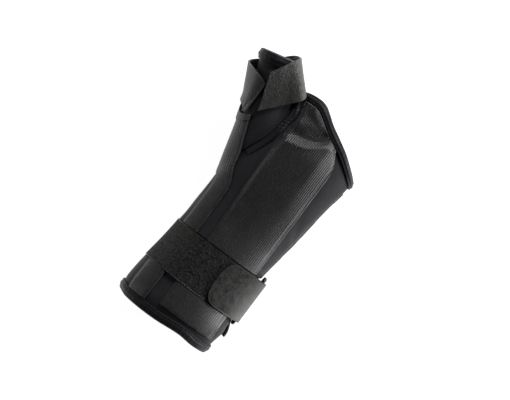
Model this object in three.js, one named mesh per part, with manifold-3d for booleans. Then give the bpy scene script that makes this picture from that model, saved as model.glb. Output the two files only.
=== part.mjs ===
// Left-sided thumb spica splint, lying on its back with the palm side up.
// X runs from the thumb side to the little finger side, Y from the forearm end to the finger
// end and Z from the back of the splint to its palm side. Lengths are in millimetres, angles in degrees.
import * as THREE from 'three';
import { mergeVertices } from 'three/addons/utils/BufferGeometryUtils.js';
import Module from 'manifold-3d';

const wasm = await Module();
wasm.setup();

// Sleeve
const sleeveLength = 210;
const sleeveWidth = 90;
const sleeveDepth = 60;
const sleeveWall = 3.5;
const palmRoundness = 2.3;
const backRoundness = 3;
const restingHollow = 3;
const layerGap = 0.4;

// Edge bindings
const bindingTape = 1.2;
const wristBindingLeg = 6;
const palmBindingLeg = 5.2;
const foldNose = 0.4;

// Palm panel and thumb side strip
const panelThickness = 1.4;
const stayBulge = 3.2;
const stripThickness = 1.3;

// Back flap
const flapThickness = 2.2;
const flapCurl = 2.4;
const flapSide = -14;
const flapFarSide = -110;
const flapCornerTurn = 12;
const flapEnds = { forearm: 0.03, hand: 0.78 };
const flapCorner = { along: 0.1, across: 0.25 };
const flapRowMargin = 4;

// Straps
const strapThickness = 1.5;
const strapWidth = 37;
const strapAlong = 0.248 * sleeveLength;
const strapSink = 1.6;
const thumbSideSqueeze = 1.2;
const sinkRamp = 2.4;
const sinkMargin = 0.6;
const tabReach = 17.1;
const tabRounding = 10.8;
const tabRoundness = 2.6;
const wristStrapTurns = { start: 290, backStarts: 200, palmEnds: 150, leave: 31 };
const wristStrapRows = [-1, -0.85, -0.45, 0, 0.45, 0.85, 1];
const foldTurns = { upwards: { from: 190, to: -30 }, downwards: { from: 160, to: -50 } };
const midStrapWidth = 22;
const midStrapAlong = 0.5 * sleeveLength;
const handStrapWidth = 20;
const handStrapAlong = 0.681 * sleeveLength;
const midStrapTurns = { from: -32, to: -140 };
const handStrapTurns = { from: -24, to: -118 };

// Ring and the tab that holds it
const ringBar = 3;
const ringOpening = 13;
const ringStandOff = 6;
const ringHeight = 36;
const ringSideGap = 1;
const ringCorner = 3.2;
const tabThickness = 1.2;
const tabSideMargin = 1;
const ringTabTurns = { start: -60, leave: -15, meet: -22, end: -44 };

// Thumb wrap
const thumbLength = 61;
const thumbSpread = 18.7;
const thumbLift = 5.6;
const thumbRadius = 13.5;
const wrapWall = 2.1;
const wrapMiddle = 0.769 * sleeveLength;
const wrapHalfLength = 0.1786 * sleeveLength;
const rimTurn = 13;
const flareTurn = 20;
const thenarWidth = 5.5;
const thenarThickness = 2.2;
const thenarTurns = { from: -66, to: 25 };
const thenarProfile = [
  { across: 0, height: 0 },
  { across: 1, height: 0 },
  { across: 1, height: 0.47 },
  { across: 0.72, height: 1 },
  { across: 0.28, height: 1 },
  { across: 0, height: 0.77 },
];
const thumbHemLeg = 7;
const thumbHoleMargin = 7;

// Thumb strap
const thumbStrapThickness = 1.5;
const thumbStrapGap = 1.3 * layerGap;
const hemStart = 0.78;
const firstRise = 0.1;

const degree = Math.PI / 180;

// Sections of the sleeve: at is the share of its length, radial and ulnar are shares of its
// width to either side of the middle line, and top is the share of its depth.
const sections = [
  { at: 0.000, radial: 0.420, ulnar: 0.486, top: 0.97 },
  { at: 0.052, radial: 0.438, ulnar: 0.508, top: 1.00 },
  { at: 0.100, radial: 0.433, ulnar: 0.515, top: 0.98 },
  { at: 0.150, radial: 0.422, ulnar: 0.500, top: 0.95 },
  { at: 0.250, radial: 0.392, ulnar: 0.492, top: 0.89 },
  { at: 0.340, radial: 0.375, ulnar: 0.502, top: 0.84 },
  { at: 0.440, radial: 0.366, ulnar: 0.534, top: 0.79 },
  { at: 0.510, radial: 0.358, ulnar: 0.559, top: 0.77 },
  { at: 0.600, radial: 0.355, ulnar: 0.580, top: 0.76 },
  { at: 0.700, radial: 0.348, ulnar: 0.608, top: 0.76 },
  { at: 0.790, radial: 0.311, ulnar: 0.640, top: 0.75 },
  { at: 0.890, radial: 0.255, ulnar: 0.650, top: 0.71 },
  { at: 1.000, radial: 0.200, ulnar: 0.661, top: 0.66 },
];

// Palm opening and forearm end: at runs from the thumb side, -1, to the little finger side, 1,
// and edge is where the sleeve is cut, as a share of its length.
const palmEdge = [
  { at: -1.00, edge: 0.985 },
  { at: -0.79, edge: 0.997 },
  { at: -0.55, edge: 1.000 },
  { at: -0.40, edge: 0.994 },
  { at: -0.26, edge: 0.980 },
  { at: 0.00, edge: 0.949 },
  { at: 0.26, edge: 0.924 },
  { at: 0.53, edge: 0.896 },
  { at: 0.79, edge: 0.862 },
  { at: 1.00, edge: 0.829 },
];
const forearmEdge = [
  { at: -1.00, edge: 0.008 },
  { at: -0.80, edge: 0.000 },
  { at: -0.15, edge: 0.000 },
  { at: 0.41, edge: 0.008 },
  { at: 0.72, edge: 0.002 },
  { at: 1.00, edge: 0.000 },
];

// Palm panel: left and right are its edges as shares of the sleeve's width.
const panelEdges = [
  { at: 0.052, left: -0.067, right: 0.461 },
  { at: 0.340, left: -0.072, right: 0.444 },
  { at: 0.550, left: -0.089, right: 0.444 },
  { at: 0.740, left: -0.106, right: 0.442 },
  { at: 0.820, left: -0.088, right: 0.432 },
  { at: 0.886, left: -0.074, right: 0.356 },
  { at: 0.930, left: -0.084, right: 0.300 },
  { at: 1.000, left: -0.131, right: 0.240 },
];

// The stay's rounded end under the panel: rise is the share of its full bulge.
const stayRise = [
  { at: 0.60, rise: 0.00 },
  { at: 0.72, rise: 0.45 },
  { at: 0.80, rise: 1.00 },
  { at: 0.855, rise: 0.55 },
  { at: 0.895, rise: 0.00 },
  { at: 1.00, rise: 0.00 },
];

// Thumb side strip on the sleeve: turn from the thumb side towards the palm, in degrees.
const stripTurns = [
  { at: 0.030, inner: 65.4, outer: 36.2 },
  { at: 0.150, inner: 63.7, outer: 32.5 },
  { at: 0.360, inner: 59.6, outer: 26.4 },
  { at: 0.500, inner: 55.7, outer: 24.4 },
  { at: 0.552, inner: 53.3, outer: 20.0 },
  { at: 0.592, inner: 49.0, outer: 5.0 },
  { at: 0.645, inner: 37.6, outer: -6.0 },
  { at: 0.690, inner: 31.0, outer: -8.0 },
];
const stripFootMargin = 2;
const slantLength = 4;
const wrapStart = 0.03;
const stripInnerTurn = 30;
const stripOuterTurn = { start: 98, end: 116 };
const stripRise = { inner: 0.31, outer: 0.53 };

// Edge of the thumb wrap on the sleeve: at is 1 at its forearm end and -1 at the web of the
// thumb, and turn is how far it reaches round from the thumb side, in degrees.
const wrapReach = [
  { at: -1.0, turn: 78 },
  { at: -0.9, turn: 70 },
  { at: -0.5, turn: 50 },
  { at: 0.0, turn: 44.6 },
  { at: 0.5, turn: 38 },
  { at: 0.8, turn: 32.5 },
  { at: 1.0, turn: 30 },
];

// How far the wrap runs straight below its rim, as a share of the thumb's length.
const wrapStraight = [
  { at: -1.0, length: 0.13 },
  { at: -0.5, length: 0.23 },
  { at: 0.0, length: 0.41 },
  { at: 0.6, length: 0.61 },
  { at: 1.0, length: 0.82 },
];

// Thumb strap, from the end of its flap round the back to its front end. Each row has a point
// of its upper edge and of its lower edge: across, along and up from the middle of the thumb
// rim, as shares of the thumb's radius.
const thumbStrapRows = [
  { at: 0.00, upper: [0.45, -1.76, 1.06], lower: [0.52, -3.77, 0.50] },
  { at: 0.13, upper: [-0.40, -1.49, 0.96], lower: [0.17, -3.50, 0.30] },
  { at: 0.25, upper: [-1.14, -1.21, 0.05], lower: [-0.11, -3.22, -0.30] },
  { at: 0.38, upper: [-0.69, -0.55, -1.10], lower: [0.30, -3.05, -1.10] },
  { at: 0.50, upper: [0.06, 0.12, -1.36], lower: [1.15, -2.23, -1.36] },
  { at: 0.60, upper: [0.70, 0.70, -1.08], lower: [1.85, -1.10, -1.25] },
  { at: 0.70, upper: [1.08, 0.66, 0.00], lower: [2.13, -0.60, -0.20] },
  { at: 0.78, upper: [1.05, 0.46, 0.90], lower: [2.71, -1.16, 0.84] },
  { at: 0.88, upper: [0.71, -0.22, 1.20], lower: [1.94, -2.14, 0.86] },
  { at: 1.00, upper: [0.23, -1.10, 1.24], lower: [1.00, -3.28, 0.84] },
];

// Value of a table's column at a place, along a smooth curve through its rows.
function valueAt(rows, place, column) {
  const last = rows.length - 1;
  let index = 0;
  while (index < last - 1 && place > rows[index + 1].at) index += 1;
  const low = rows[index];
  const high = rows[index + 1];
  const slope = (row) => {
    const before = rows[Math.max(row - 1, 0)];
    const after = rows[Math.min(row + 1, last)];
    return (after[column] - before[column]) / (after.at - before.at);
  };
  const span = high.at - low.at;
  const t = Math.min(Math.max((place - low.at) / span, 0), 1);
  const highPart = t * t * (3 - 2 * t);
  const lowSlope = t * (1 - t) * (1 - t) * span * slope(index);
  const highSlope = t * t * (t - 1) * span * slope(index + 1);
  return low[column] * (1 - highPart) + high[column] * highPart + lowSlope + highSlope;
}

const mix = (from, to, share) => from + (to - from) * share;

const mixPoints = (from, to, share) => from.map((value, axis) => mix(value, to[axis], share));

// Eases from 0 to 1 as the value goes from low to high.
function ease(low, high, value) {
  const t = Math.min(Math.max((value - low) / (high - low), 0), 1);
  return t * t * (3 - 2 * t);
}

const steps = (count, from = 0, to = 1) =>
  Array.from({ length: count + 1 }, (_, index) => mix(from, to, index / count));

// Heights of the layers on the back, from the sleeve outwards.
const strapOnBack = 2 * layerGap + flapThickness;
const stripSeat = 2 * layerGap;
const strapOnPalm = stripSeat + stripThickness + layerGap;
const wrapSeat = 3.1 * layerGap;
const panelSeat = 1.3 * layerGap;
const restingHeight = strapOnBack + strapThickness - strapSink;

const strapBands = [
  { middle: strapAlong, width: strapWidth, allRound: true },
  { middle: midStrapAlong, width: midStrapWidth, allRound: false },
  { middle: handStrapAlong, width: handStrapWidth, allRound: false },
];

// How deep the straps press into the sleeve, as a share of their sink: a strap that goes all
// round presses deeper at the thumb side.
function strapDent(angle, y) {
  const onBack = 1 - ease(-0.5, 0.2, Math.sin(angle));
  const atThumb = thumbSideSqueeze * Math.max(-Math.cos(angle), 0) ** 4;
  return strapBands.reduce((deepest, band) => {
    const outside = Math.abs(y - band.middle) - band.width / 2 - sinkMargin;
    const depth = 1 - ease(0, sinkRamp, outside);
    return Math.max(deepest, depth * (band.allRound ? 1 + atThumb : onBack));
  }, 0);
}

function sectionAt(y) {
  const at = y / sleeveLength;
  const radial = -sleeveWidth * valueAt(sections, at, 'radial');
  const ulnar = sleeveWidth * valueAt(sections, at, 'ulnar');
  const top = sleeveDepth * valueAt(sections, at, 'top');
  const bottom = restingHeight - restingHollow;
  return {
    middleX: (radial + ulnar) / 2,
    halfWidth: (ulnar - radial) / 2,
    middleZ: (top + bottom) / 2,
    halfDepth: (top - bottom) / 2,
  };
}

const signedPower = (value, power) => Math.sign(value) * Math.abs(value) ** power;

const roundnessAt = (angle) => (Math.sin(angle) >= 0 ? palmRoundness : backRoundness);

// Share of the half width at an angle, from -1 at the thumb side to 1.
const acrossAt = (angle) => signedPower(Math.cos(angle), 2 / roundnessAt(angle));

// Point of the sleeve's outer face, moved outwards by a height. Angle 0 is the little finger
// side, a quarter turn the palm and a half turn the thumb side. The section is a
// superellipse, pressed flat where the splint rests.
function sleevePoint(angle, y, height) {
  const { middleX, halfWidth, middleZ, halfDepth } = sectionAt(y);
  const roundness = roundnessAt(angle);
  const normalX = signedPower(Math.cos(angle), 2 - 2 / roundness) / halfWidth;
  const normalZ = signedPower(Math.sin(angle), 2 - 2 / roundness) / halfDepth;
  const normalLength = Math.hypot(normalX, normalZ);
  const lift = height - strapSink * strapDent(angle, y);
  const x = middleX + halfWidth * acrossAt(angle);
  const z = middleZ + halfDepth * signedPower(Math.sin(angle), 2 / roundness);
  return [
    x + (lift * normalX) / normalLength,
    y,
    Math.max(z + (lift * normalZ) / normalLength, restingHeight - lift),
  ];
}

// Angle at which the palm half of the sleeve is at a given x.
function angleAtX(x, y) {
  const { middleX, halfWidth } = sectionAt(y);
  const across = Math.min(Math.max((x - middleX) / halfWidth, -1), 1);
  return Math.acos(signedPower(across, palmRoundness / 2));
}

const palmEnd = (angle) => sleeveLength * valueAt(palmEdge, acrossAt(angle), 'edge');
const forearmEnd = (angle) => sleeveLength * valueAt(forearmEdge, acrossAt(angle), 'edge');

// Rows along the sleeve: evenly spaced, with more where a strap presses in.
const firstRow = 0.055 * sleeveLength;
const lastRow = 0.77 * sleeveLength;
const rowSpacing = 14;
const rampRows = strapBands.flatMap(({ middle, width }) => {
  const flat = width / 2 + sinkMargin;
  return [
    middle - flat - sinkRamp, middle - flat, middle, middle + flat, middle + flat + sinkRamp,
  ];
});
const middleRows = [firstRow, ...rampRows, lastRow]
  .filter((row) => row >= firstRow && row <= lastRow)
  .sort((a, b) => a - b)
  .flatMap((row, index, all) => {
    const next = all[index + 1] ?? row;
    const parts = Math.max(1, Math.round((next - row) / rowSpacing));
    return index === all.length - 1 ? [row] : steps(parts, row, next).slice(0, -1);
  });
const endRows = 3;

// Closed solid from a grid of points on an inner and an outer face. Where the grid is a ring,
// its last column meets its first.
function wallSolid(columns, rows, pointAt, ring = false) {
  const width = ring ? columns : columns + 1;
  const position = [];
  for (const outer of [false, true]) {
    for (let row = 0; row <= rows; row += 1) {
      for (let column = 0; column < width; column += 1) position.push(...pointAt(column, row, outer));
    }
  }
  const vertex = (column, row, outer) =>
    (outer ? width * (rows + 1) : 0) + row * width + (ring ? column % columns : column);
  const faces = [];
  const quad = (a, b, c, d) => faces.push(a, b, c, a, c, d);
  for (let row = 0; row < rows; row += 1) {
    for (let column = 0; column < columns; column += 1) {
      for (const outer of [false, true]) {
        const corners = [
          vertex(column, row, outer), vertex(column + 1, row, outer),
          vertex(column + 1, row + 1, outer), vertex(column, row + 1, outer),
        ];
        quad(...(outer ? corners : corners.reverse()));
      }
    }
  }
  const rim = (from, to) =>
    quad(vertex(...from, false), vertex(...to, false), vertex(...to, true), vertex(...from, true));
  for (let column = 0; column < columns; column += 1) {
    rim([column, 0], [column + 1, 0]);
    rim([column + 1, rows], [column, rows]);
  }
  for (let row = 0; row < rows && !ring; row += 1) {
    rim([columns, row], [columns, row + 1]);
    rim([0, row + 1], [0, row]);
  }
  return facingOut(position, faces);
}

// Solid swept round a closed loop, or between two ends: pointAt(step, corner) gives the
// corners of its profile at each step.
function sweptSolid(stepCount, corners, pointAt, loop = true) {
  const sections = loop ? stepCount : stepCount + 1;
  const position = [];
  for (let step = 0; step < sections; step += 1) {
    for (let corner = 0; corner < corners; corner += 1) position.push(...pointAt(step, corner));
  }
  const faces = [];
  for (let step = 0; step < stepCount; step += 1) {
    const next = (step + 1) % sections;
    for (let corner = 0; corner < corners; corner += 1) {
      const side = (corner + 1) % corners;
      const a = step * corners + corner;
      const b = step * corners + side;
      const c = next * corners + side;
      const d = next * corners + corner;
      faces.push(a, b, c, a, c, d);
    }
  }
  for (let corner = 1; corner < corners - 1 && !loop; corner += 1) {
    const end = stepCount * corners;
    faces.push(0, corner + 1, corner, end, end + corner, end + corner + 1);
  }
  return facingOut(position, faces);
}

// Geometry from points and faces, turned so that the faces look outwards.
function facingOut(position, faces) {
  const corner = (index) => position.slice(3 * index, 3 * index + 3);
  let volume = 0;
  for (let face = 0; face < faces.length; face += 3) {
    const [a, b, c] = [corner(faces[face]), corner(faces[face + 1]), corner(faces[face + 2])];
    volume += a[0] * (b[1] * c[2] - b[2] * c[1]) + a[1] * (b[2] * c[0] - b[0] * c[2])
      + a[2] * (b[0] * c[1] - b[1] * c[0]);
  }
  if (volume < 0) {
    for (let face = 0; face < faces.length; face += 3) {
      [faces[face + 1], faces[face + 2]] = [faces[face + 2], faces[face + 1]];
    }
  }
  const geometry = new THREE.BufferGeometry();
  geometry.setAttribute('position', new THREE.Float32BufferAttribute(position, 3));
  geometry.setIndex(faces);
  return geometry;
}

function toSolid(geometry) {
  const merged = mergeVertices(geometry);
  return new wasm.Manifold(new wasm.Mesh({
    numProp: 3,
    vertProperties: Float32Array.from(merged.attributes.position.array),
    triVerts: Uint32Array.from(merged.index.array),
  }));
}

function fromSolid(solid) {
  const { vertProperties, triVerts } = solid.getMesh();
  const geometry = new THREE.BufferGeometry();
  geometry.setAttribute('position', new THREE.Float32BufferAttribute(vertProperties, 3));
  geometry.setIndex(Array.from(triVerts));
  return geometry;
}

const splint = new THREE.Group();

function addPiece(name, geometry, color, roughness, metalness = 0) {
  const faceted = geometry.toNonIndexed();
  faceted.computeVertexNormals();
  const material = new THREE.MeshStandardMaterial({ color, roughness, metalness });
  const mesh = new THREE.Mesh(faceted, material);
  mesh.name = name;
  splint.add(mesh);
}

const neopreneColor = 0x242428;
const webbingColor = 0x30302c;
const bindingColor = 0x28282e;
const pileColor = 0x1e1e1e;
const hookColor = 0x424240;
const plasticColor = 0x161616;

// Place on the sleeve of the thumb wrap's edge, moved outwards from the wrap by a distance.
// Turn 0 is the palm side, a quarter turn the forearm end, and minus a quarter turn the web.
function wrapEdge(turn, outwards = 0) {
  const plain = (angle) => ({
    angle: Math.PI - degree * valueAt(wrapReach, Math.sin(angle), 'turn') * Math.cos(angle),
    y: wrapMiddle - wrapHalfLength * Math.sin(angle),
  });
  const step = 0.01;
  const place = plain(turn);
  const before = plain(turn - step);
  const after = plain(turn + step);
  const [left, right] = [-step, step].map((shift) => sleevePoint(place.angle + shift, place.y, 0));
  const scale = Math.hypot(right[0] - left[0], right[2] - left[2]) / (2 * step);
  const tangent = [(after.angle - before.angle) * scale, after.y - before.y];
  const length = Math.hypot(...tangent);
  return {
    angle: place.angle + (tangent[1] / length) * (outwards / scale),
    y: place.y - (tangent[0] / length) * outwards,
  };
}

const wrapEdgePoint = (turn, outwards, height) => {
  const { angle, y } = wrapEdge(turn, outwards);
  return sleevePoint(angle, y, height);
};

// Frame of the thumb's rim.
const wrapRoot = sleevePoint(Math.PI, wrapMiddle, 0);
const rimMiddle = [
  wrapRoot[0] - thumbLength * Math.sin(thumbSpread * degree) * Math.cos(thumbLift * degree),
  wrapRoot[1] + thumbLength * Math.cos(thumbSpread * degree) * Math.cos(thumbLift * degree),
  wrapRoot[2] + thumbLength * Math.sin(thumbLift * degree),
];
const rimAcross = [Math.cos(rimTurn * degree), Math.sin(rimTurn * degree), 0];
const rimAxis = [
  -Math.sin(rimTurn * degree) * Math.cos(thumbLift * degree),
  Math.cos(rimTurn * degree) * Math.cos(thumbLift * degree),
  Math.sin(thumbLift * degree),
];
const rimUp = [
  Math.sin(rimTurn * degree) * Math.sin(thumbLift * degree),
  -Math.cos(rimTurn * degree) * Math.sin(thumbLift * degree),
  Math.cos(thumbLift * degree),
];
const flareAxis = [
  -Math.sin(flareTurn * degree) * Math.cos(thumbLift * degree),
  Math.cos(flareTurn * degree) * Math.cos(thumbLift * degree),
  Math.sin(thumbLift * degree),
];

const rimPoint = (turn, radius, along = 0) => rimMiddle.map((value, axis) =>
  value - radius * Math.sin(turn) * rimAcross[axis] + radius * Math.cos(turn) * rimUp[axis]
    + along * rimAxis[axis]);

// Point of the thumb wrap: rise 0 is its edge on the sleeve and rise 1 the rim. Each line is
// a quadratic curve that leaves the edge and runs into the straight part below the rim.
function wrapPoint(turn, rise, depth) {
  const foot = wrapEdgePoint(turn, -depth, wrapSeat);
  const rim = rimPoint(turn, thumbRadius - depth);
  const straight = thumbLength * valueAt(wrapStraight, Math.sin(turn), 'length');
  const knee = rim.map((value, axis) => value - straight * flareAxis[axis]);
  return mixPoints(mixPoints(foot, knee, rise), mixPoints(knee, rim, rise), rise);
}

// Outward normal of the thumb wrap's outer face.
function wrapNormal(turn, rise) {
  const step = 0.01;
  const around = new THREE.Vector3(...wrapPoint(turn + step, rise, 0))
    .sub(new THREE.Vector3(...wrapPoint(turn - step, rise, 0)));
  const along = new THREE.Vector3(...wrapPoint(turn, rise + step, 0))
    .sub(new THREE.Vector3(...wrapPoint(turn, rise - step, 0)));
  return along.cross(around).normalize().toArray();
}

function offWrap(turn, rise, height) {
  const normal = wrapNormal(turn, rise);
  return wrapPoint(turn, rise, 0).map((value, axis) => value + height * normal[axis]);
}

function makeSleeve() {
  const columns = 36;
  const rows = middleRows.length + 1 + endRows;
  const pointAt = (column, row, outer) => {
    const angle = (2 * Math.PI * column) / columns;
    const last = middleRows.length - 1;
    const free = middleRows[Math.min(Math.max(row - 1, 0), last)];
    const share = Math.max(row - 1 - last, 0) / (endRows + 1);
    const y = row === 0 ? forearmEnd(angle) : mix(free, palmEnd(angle), share);
    return sleevePoint(angle, y, outer ? 0 : -sleeveWall);
  };
  const holeSteps = 24;
  const reach = 2 * sleeveWall;
  const hole = sweptSolid(1, holeSteps, (step, corner) => {
    const turn = (2 * Math.PI * corner) / holeSteps;
    return wrapEdgePoint(turn, -thumbHoleMargin - wrapWall, step === 0 ? -reach : reach);
  }, false);
  const tube = toSolid(wallSolid(columns, rows, pointAt, true));
  return fromSolid(tube.subtract(toSolid(hole)));
}

// Outline of a tape folded over an edge: a leg outside the wall, a rounded fold and a leg
// inside. Each corner is how far it lies beyond the edge and its height off the outer face.
function foldedTape(leg, wall) {
  const inside = -wall - layerGap;
  const fold = layerGap + bindingTape;
  const nose = foldNose * fold;
  return [
    [-leg, layerGap], [layerGap, layerGap], [layerGap, inside], [-leg, inside],
    [-leg, inside - bindingTape], [nose, inside - bindingTape], [fold, inside], [fold, layerGap],
    [nose, layerGap + bindingTape], [-leg, layerGap + bindingTape],
  ];
}

// Binding round an end of the sleeve.
function makeBinding(endAt, direction, leg) {
  const columns = 36;
  const profile = foldedTape(leg, sleeveWall);
  return sweptSolid(columns, profile.length, (step, corner) => {
    const angle = (2 * Math.PI * step) / columns;
    const [along, height] = profile[corner];
    return sleevePoint(angle, endAt(angle) + direction * along, height);
  });
}

function makePalmPanel() {
  const columns = 10;
  const start = sleeveLength * panelEdges[0].at;
  const rows = middleRows.filter((row) => row > start);
  const acrossPanel = (across, y) => sleeveWidth * mix(valueAt(panelEdges, y / sleeveLength, 'left'),
    valueAt(panelEdges, y / sleeveLength, 'right'), across);
  const underBinding = (across, y) =>
    palmEnd(angleAtX(acrossPanel(across, y), y)) - palmBindingLeg - 2 * layerGap;
  const topAt = (across) => steps(6).reduce((y) => mix(y, underBinding(across, y), 0.7), lastRow);
  const pointAt = (column, row, outer) => {
    const across = column / columns;
    const last = rows.length - 1;
    const share = Math.max(row - 1 - last, 0) / (endRows + 1);
    const y = row === 0 ? start : mix(rows[Math.min(row - 1, last)], topAt(across), share);
    const at = y / sleeveLength;
    const x = acrossPanel(across, y);
    const crown = 1 - Math.abs(2 * across - 1) ** 3;
    const bulge = stayBulge * valueAt(stayRise, at, 'rise') * crown;
    return sleevePoint(angleAtX(x, y), y, panelSeat + (outer ? panelThickness + bulge : 0));
  };
  return wallSolid(columns, rows.length + endRows + 1, pointAt);
}

function makeStrip() {
  const columns = 4;
  const start = sleeveLength * stripTurns[0].at;
  const sleeveRows = [start, ...middleRows.filter((row) => row > start)];
  const wrapRows = 6;
  const turnAt = (across, share) => degree * mix(stripInnerTurn,
    mix(stripOuterTurn.start, stripOuterTurn.end, share), across);
  const footOf = (across) => wrapEdge(turnAt(across, 0), stripFootMargin);
  const lowest = footOf(1).y;
  const below = sleeveRows.filter((row) => row < lowest - slantLength);
  const slantRows = 3;
  const rows = below.length - 1 + slantRows + wrapRows + 1;
  const pointAt = (column, row, outer) => {
    const across = column / columns;
    const height = stripSeat + (outer ? stripThickness : 0);
    if (row < below.length + slantRows) {
      const foot = footOf(across);
      const last = below.length - 1;
      const share = Math.max(row - last, 0) / slantRows;
      const y = mix(below[Math.min(row, last)], foot.y, share);
      const turn = mix(valueAt(stripTurns, y / sleeveLength, 'inner'),
        valueAt(stripTurns, y / sleeveLength, 'outer'), across);
      return sleevePoint(mix(Math.PI - degree * turn, foot.angle, ease(0, 1, share)), y, height);
    }
    const share = (row - below.length - slantRows) / wrapRows;
    const end = mix(stripRise.inner, stripRise.outer, across);
    return offWrap(turnAt(across, share), mix(wrapStart, end, share), height);
  };
  return wallSolid(columns, rows, pointAt);
}

function makeFlap() {
  const columns = 10;
  const start = wristBindingLeg + 2 * layerGap + flapEnds.forearm * sleeveLength;
  const end = flapEnds.hand * sleeveLength;
  const middle = middleRows.filter((row) => row > start && row < end - flapRowMargin);
  const rows = [start, ...middle, end];
  const pointAt = (column, row, outer) => {
    const across = column / columns;
    const y = rows[row];
    const alongCorner = 1 - ease(start, flapCorner.along * sleeveLength, y);
    const corner = alongCorner * (1 - ease(0, flapCorner.across, across));
    const angle = degree * mix(mix(flapSide, flapSide + flapCornerTurn, corner), flapFarSide, across);
    return sleevePoint(angle, y, layerGap + flapCurl * corner + (outer ? flapThickness : 0));
  };
  return wallSolid(columns, rows.length - 1, pointAt);
}

// Strap that lies over the flap, on the back of the sleeve, between two angles.
function makeBackStrap({ middle, width }, { from, to }) {
  const columns = 16;
  const rows = [middle - width / 2, middle, middle + width / 2];
  return wallSolid(columns, rows.length - 1, (column, row, outer) => {
    const angle = mix(from, to, column / columns);
    return sleevePoint(degree * angle, rows[row], strapOnBack + (outer ? strapThickness : 0));
  });
}

// Ring bars: both run along Y beside the sleeve.
const ringSide = sleevePoint(0, strapAlong, 0)[0] + ringStandOff;
const upperBar = [ringSide, ringHeight];
const lowerBar = [ringSide, ringHeight - ringOpening - ringBar];

// Middle line of a strap, in X and Z, that comes in on the sleeve, goes round a bar and comes
// back on top of itself. Ingoing and outgoing are lists of angles on the sleeve.
function foldedPath(y, ingoing, outgoing, seatAt, thickness, bar, upwards) {
  const fold = upwards ? foldTurns.upwards : foldTurns.downwards;
  const foldRadius = ringBar / 2 + layerGap + thickness / 2;
  const onSleeve = (angle, height) => {
    const [x, , z] = sleevePoint(degree * angle, y, height);
    return [x, z];
  };
  const foldSteps = 7;
  const arc = steps(foldSteps, fold.from, fold.to).map((turn) => {
    const direction = (upwards ? 1 : -1) * degree * turn;
    return [
      bar[0] + foldRadius * Math.cos(direction),
      bar[1] + foldRadius * Math.sin(direction),
    ];
  });
  return [
    ...ingoing.map((angle) => onSleeve(angle, seatAt(angle) + thickness / 2)),
    ...arc,
    ...outgoing.map((angle) => onSleeve(angle, seatAt(angle) + 1.5 * thickness + layerGap)),
  ];
}

// Strap solid from its middle lines, one for each row across its width.
function bandSolid(paths, rowsY, thickness) {
  const normalOf = (path, index) => {
    const before = path[Math.max(index - 1, 0)];
    const after = path[Math.min(index + 1, path.length - 1)];
    const length = Math.hypot(after[0] - before[0], after[1] - before[1]);
    return [(after[1] - before[1]) / length, (before[0] - after[0]) / length];
  };
  return wallSolid(paths[0].length - 1, rowsY.length - 1, (column, row, outer) => {
    const path = paths[row];
    const normal = normalOf(path, column);
    const side = (outer ? 0.5 : -0.5) * thickness;
    return [path[column][0] + side * normal[0], rowsY[row], path[column][1] + side * normal[1]];
  });
}

// Wrist strap: from under the ring, round the back and over the palm to the ring, and back over
// itself to its rounded end.
function makeWristStrap() {
  const seatAt = (angle) =>
    mix(strapOnPalm, strapOnBack, ease(wristStrapTurns.palmEnds, wristStrapTurns.backStarts, angle));
  const rowsY = wristStrapRows.map((share) => strapAlong + (share * strapWidth) / 2);
  const paths = wristStrapRows.map((share, row) => {
    const corner = 1 - (1 - Math.abs(share) ** tabRoundness) ** (1 / tabRoundness);
    const tabAngle = angleAtX(tabReach + tabRounding * corner, rowsY[row]) / degree;
    const { start, leave } = wristStrapTurns;
    return foldedPath(rowsY[row], steps(22, start, leave), steps(5, leave, tabAngle), seatAt,
      strapThickness, upperBar, false);
  });
  return bandSolid(paths, rowsY, strapThickness);
}

function makeRingTab() {
  const halfWidth = strapWidth / 2 - tabSideMargin;
  const rowsY = steps(2, strapAlong - halfWidth, strapAlong + halfWidth);
  const seatAt = () => strapOnBack;
  const { start, leave, meet, end } = ringTabTurns;
  const paths = rowsY.map((y) => foldedPath(y, steps(5, start, leave), steps(3, meet, end), seatAt,
    tabThickness, lowerBar, true));
  return bandSolid(paths, rowsY, tabThickness);
}

// Rectangular ring: a round bar carried along a loop with rounded corners.
function makeRing() {
  const halfLength = strapWidth / 2 + ringSideGap + ringBar / 2;
  const halfWidth = (ringOpening + ringBar) / 2;
  const cornerSteps = 4;
  const sides = 6;
  const corners = [[1, 1], [-1, 1], [-1, -1], [1, -1]];
  const loop = corners.flatMap(([right, up], quarter) =>
    steps(cornerSteps, 90 * quarter, 90 * (quarter + 1)).map((turn) => ({
      turn,
      along: right * (halfLength - ringCorner) + ringCorner * Math.cos(degree * turn),
      across: up * (halfWidth - ringCorner) + ringCorner * Math.sin(degree * turn),
    })));
  const middleZ = (upperBar[1] + lowerBar[1]) / 2;
  return sweptSolid(loop.length, sides, (step, corner) => {
    const { turn, along, across } = loop[step];
    const side = (2 * Math.PI * corner) / sides;
    const out = (ringBar / 2) * Math.cos(side);
    return [
      ringSide + (ringBar / 2) * Math.sin(side),
      strapAlong + along + out * Math.cos(degree * turn),
      middleZ + across + out * Math.sin(degree * turn),
    ];
  });
}

function makeThumbWrap() {
  const columns = 28;
  const rows = 8;
  const pointAt = (column, row, outer) =>
    wrapPoint((2 * Math.PI * column) / columns, row / rows, outer ? 0 : wrapWall);
  return wallSolid(columns, rows, pointAt, true);
}

function makeThumbHem() {
  const columns = 28;
  const profile = foldedTape(thumbHemLeg, wrapWall + layerGap);
  return sweptSolid(columns, profile.length, (step, corner) => {
    const turn = (2 * Math.PI * step) / columns;
    const [along, height] = profile[corner];
    if (along > 0) return rimPoint(turn, thumbRadius + height, along);
    const straight = thumbLength * valueAt(wrapStraight, Math.sin(turn), 'length');
    return offWrap(turn, 1 + along / (2 * straight), height);
  });
}

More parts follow.
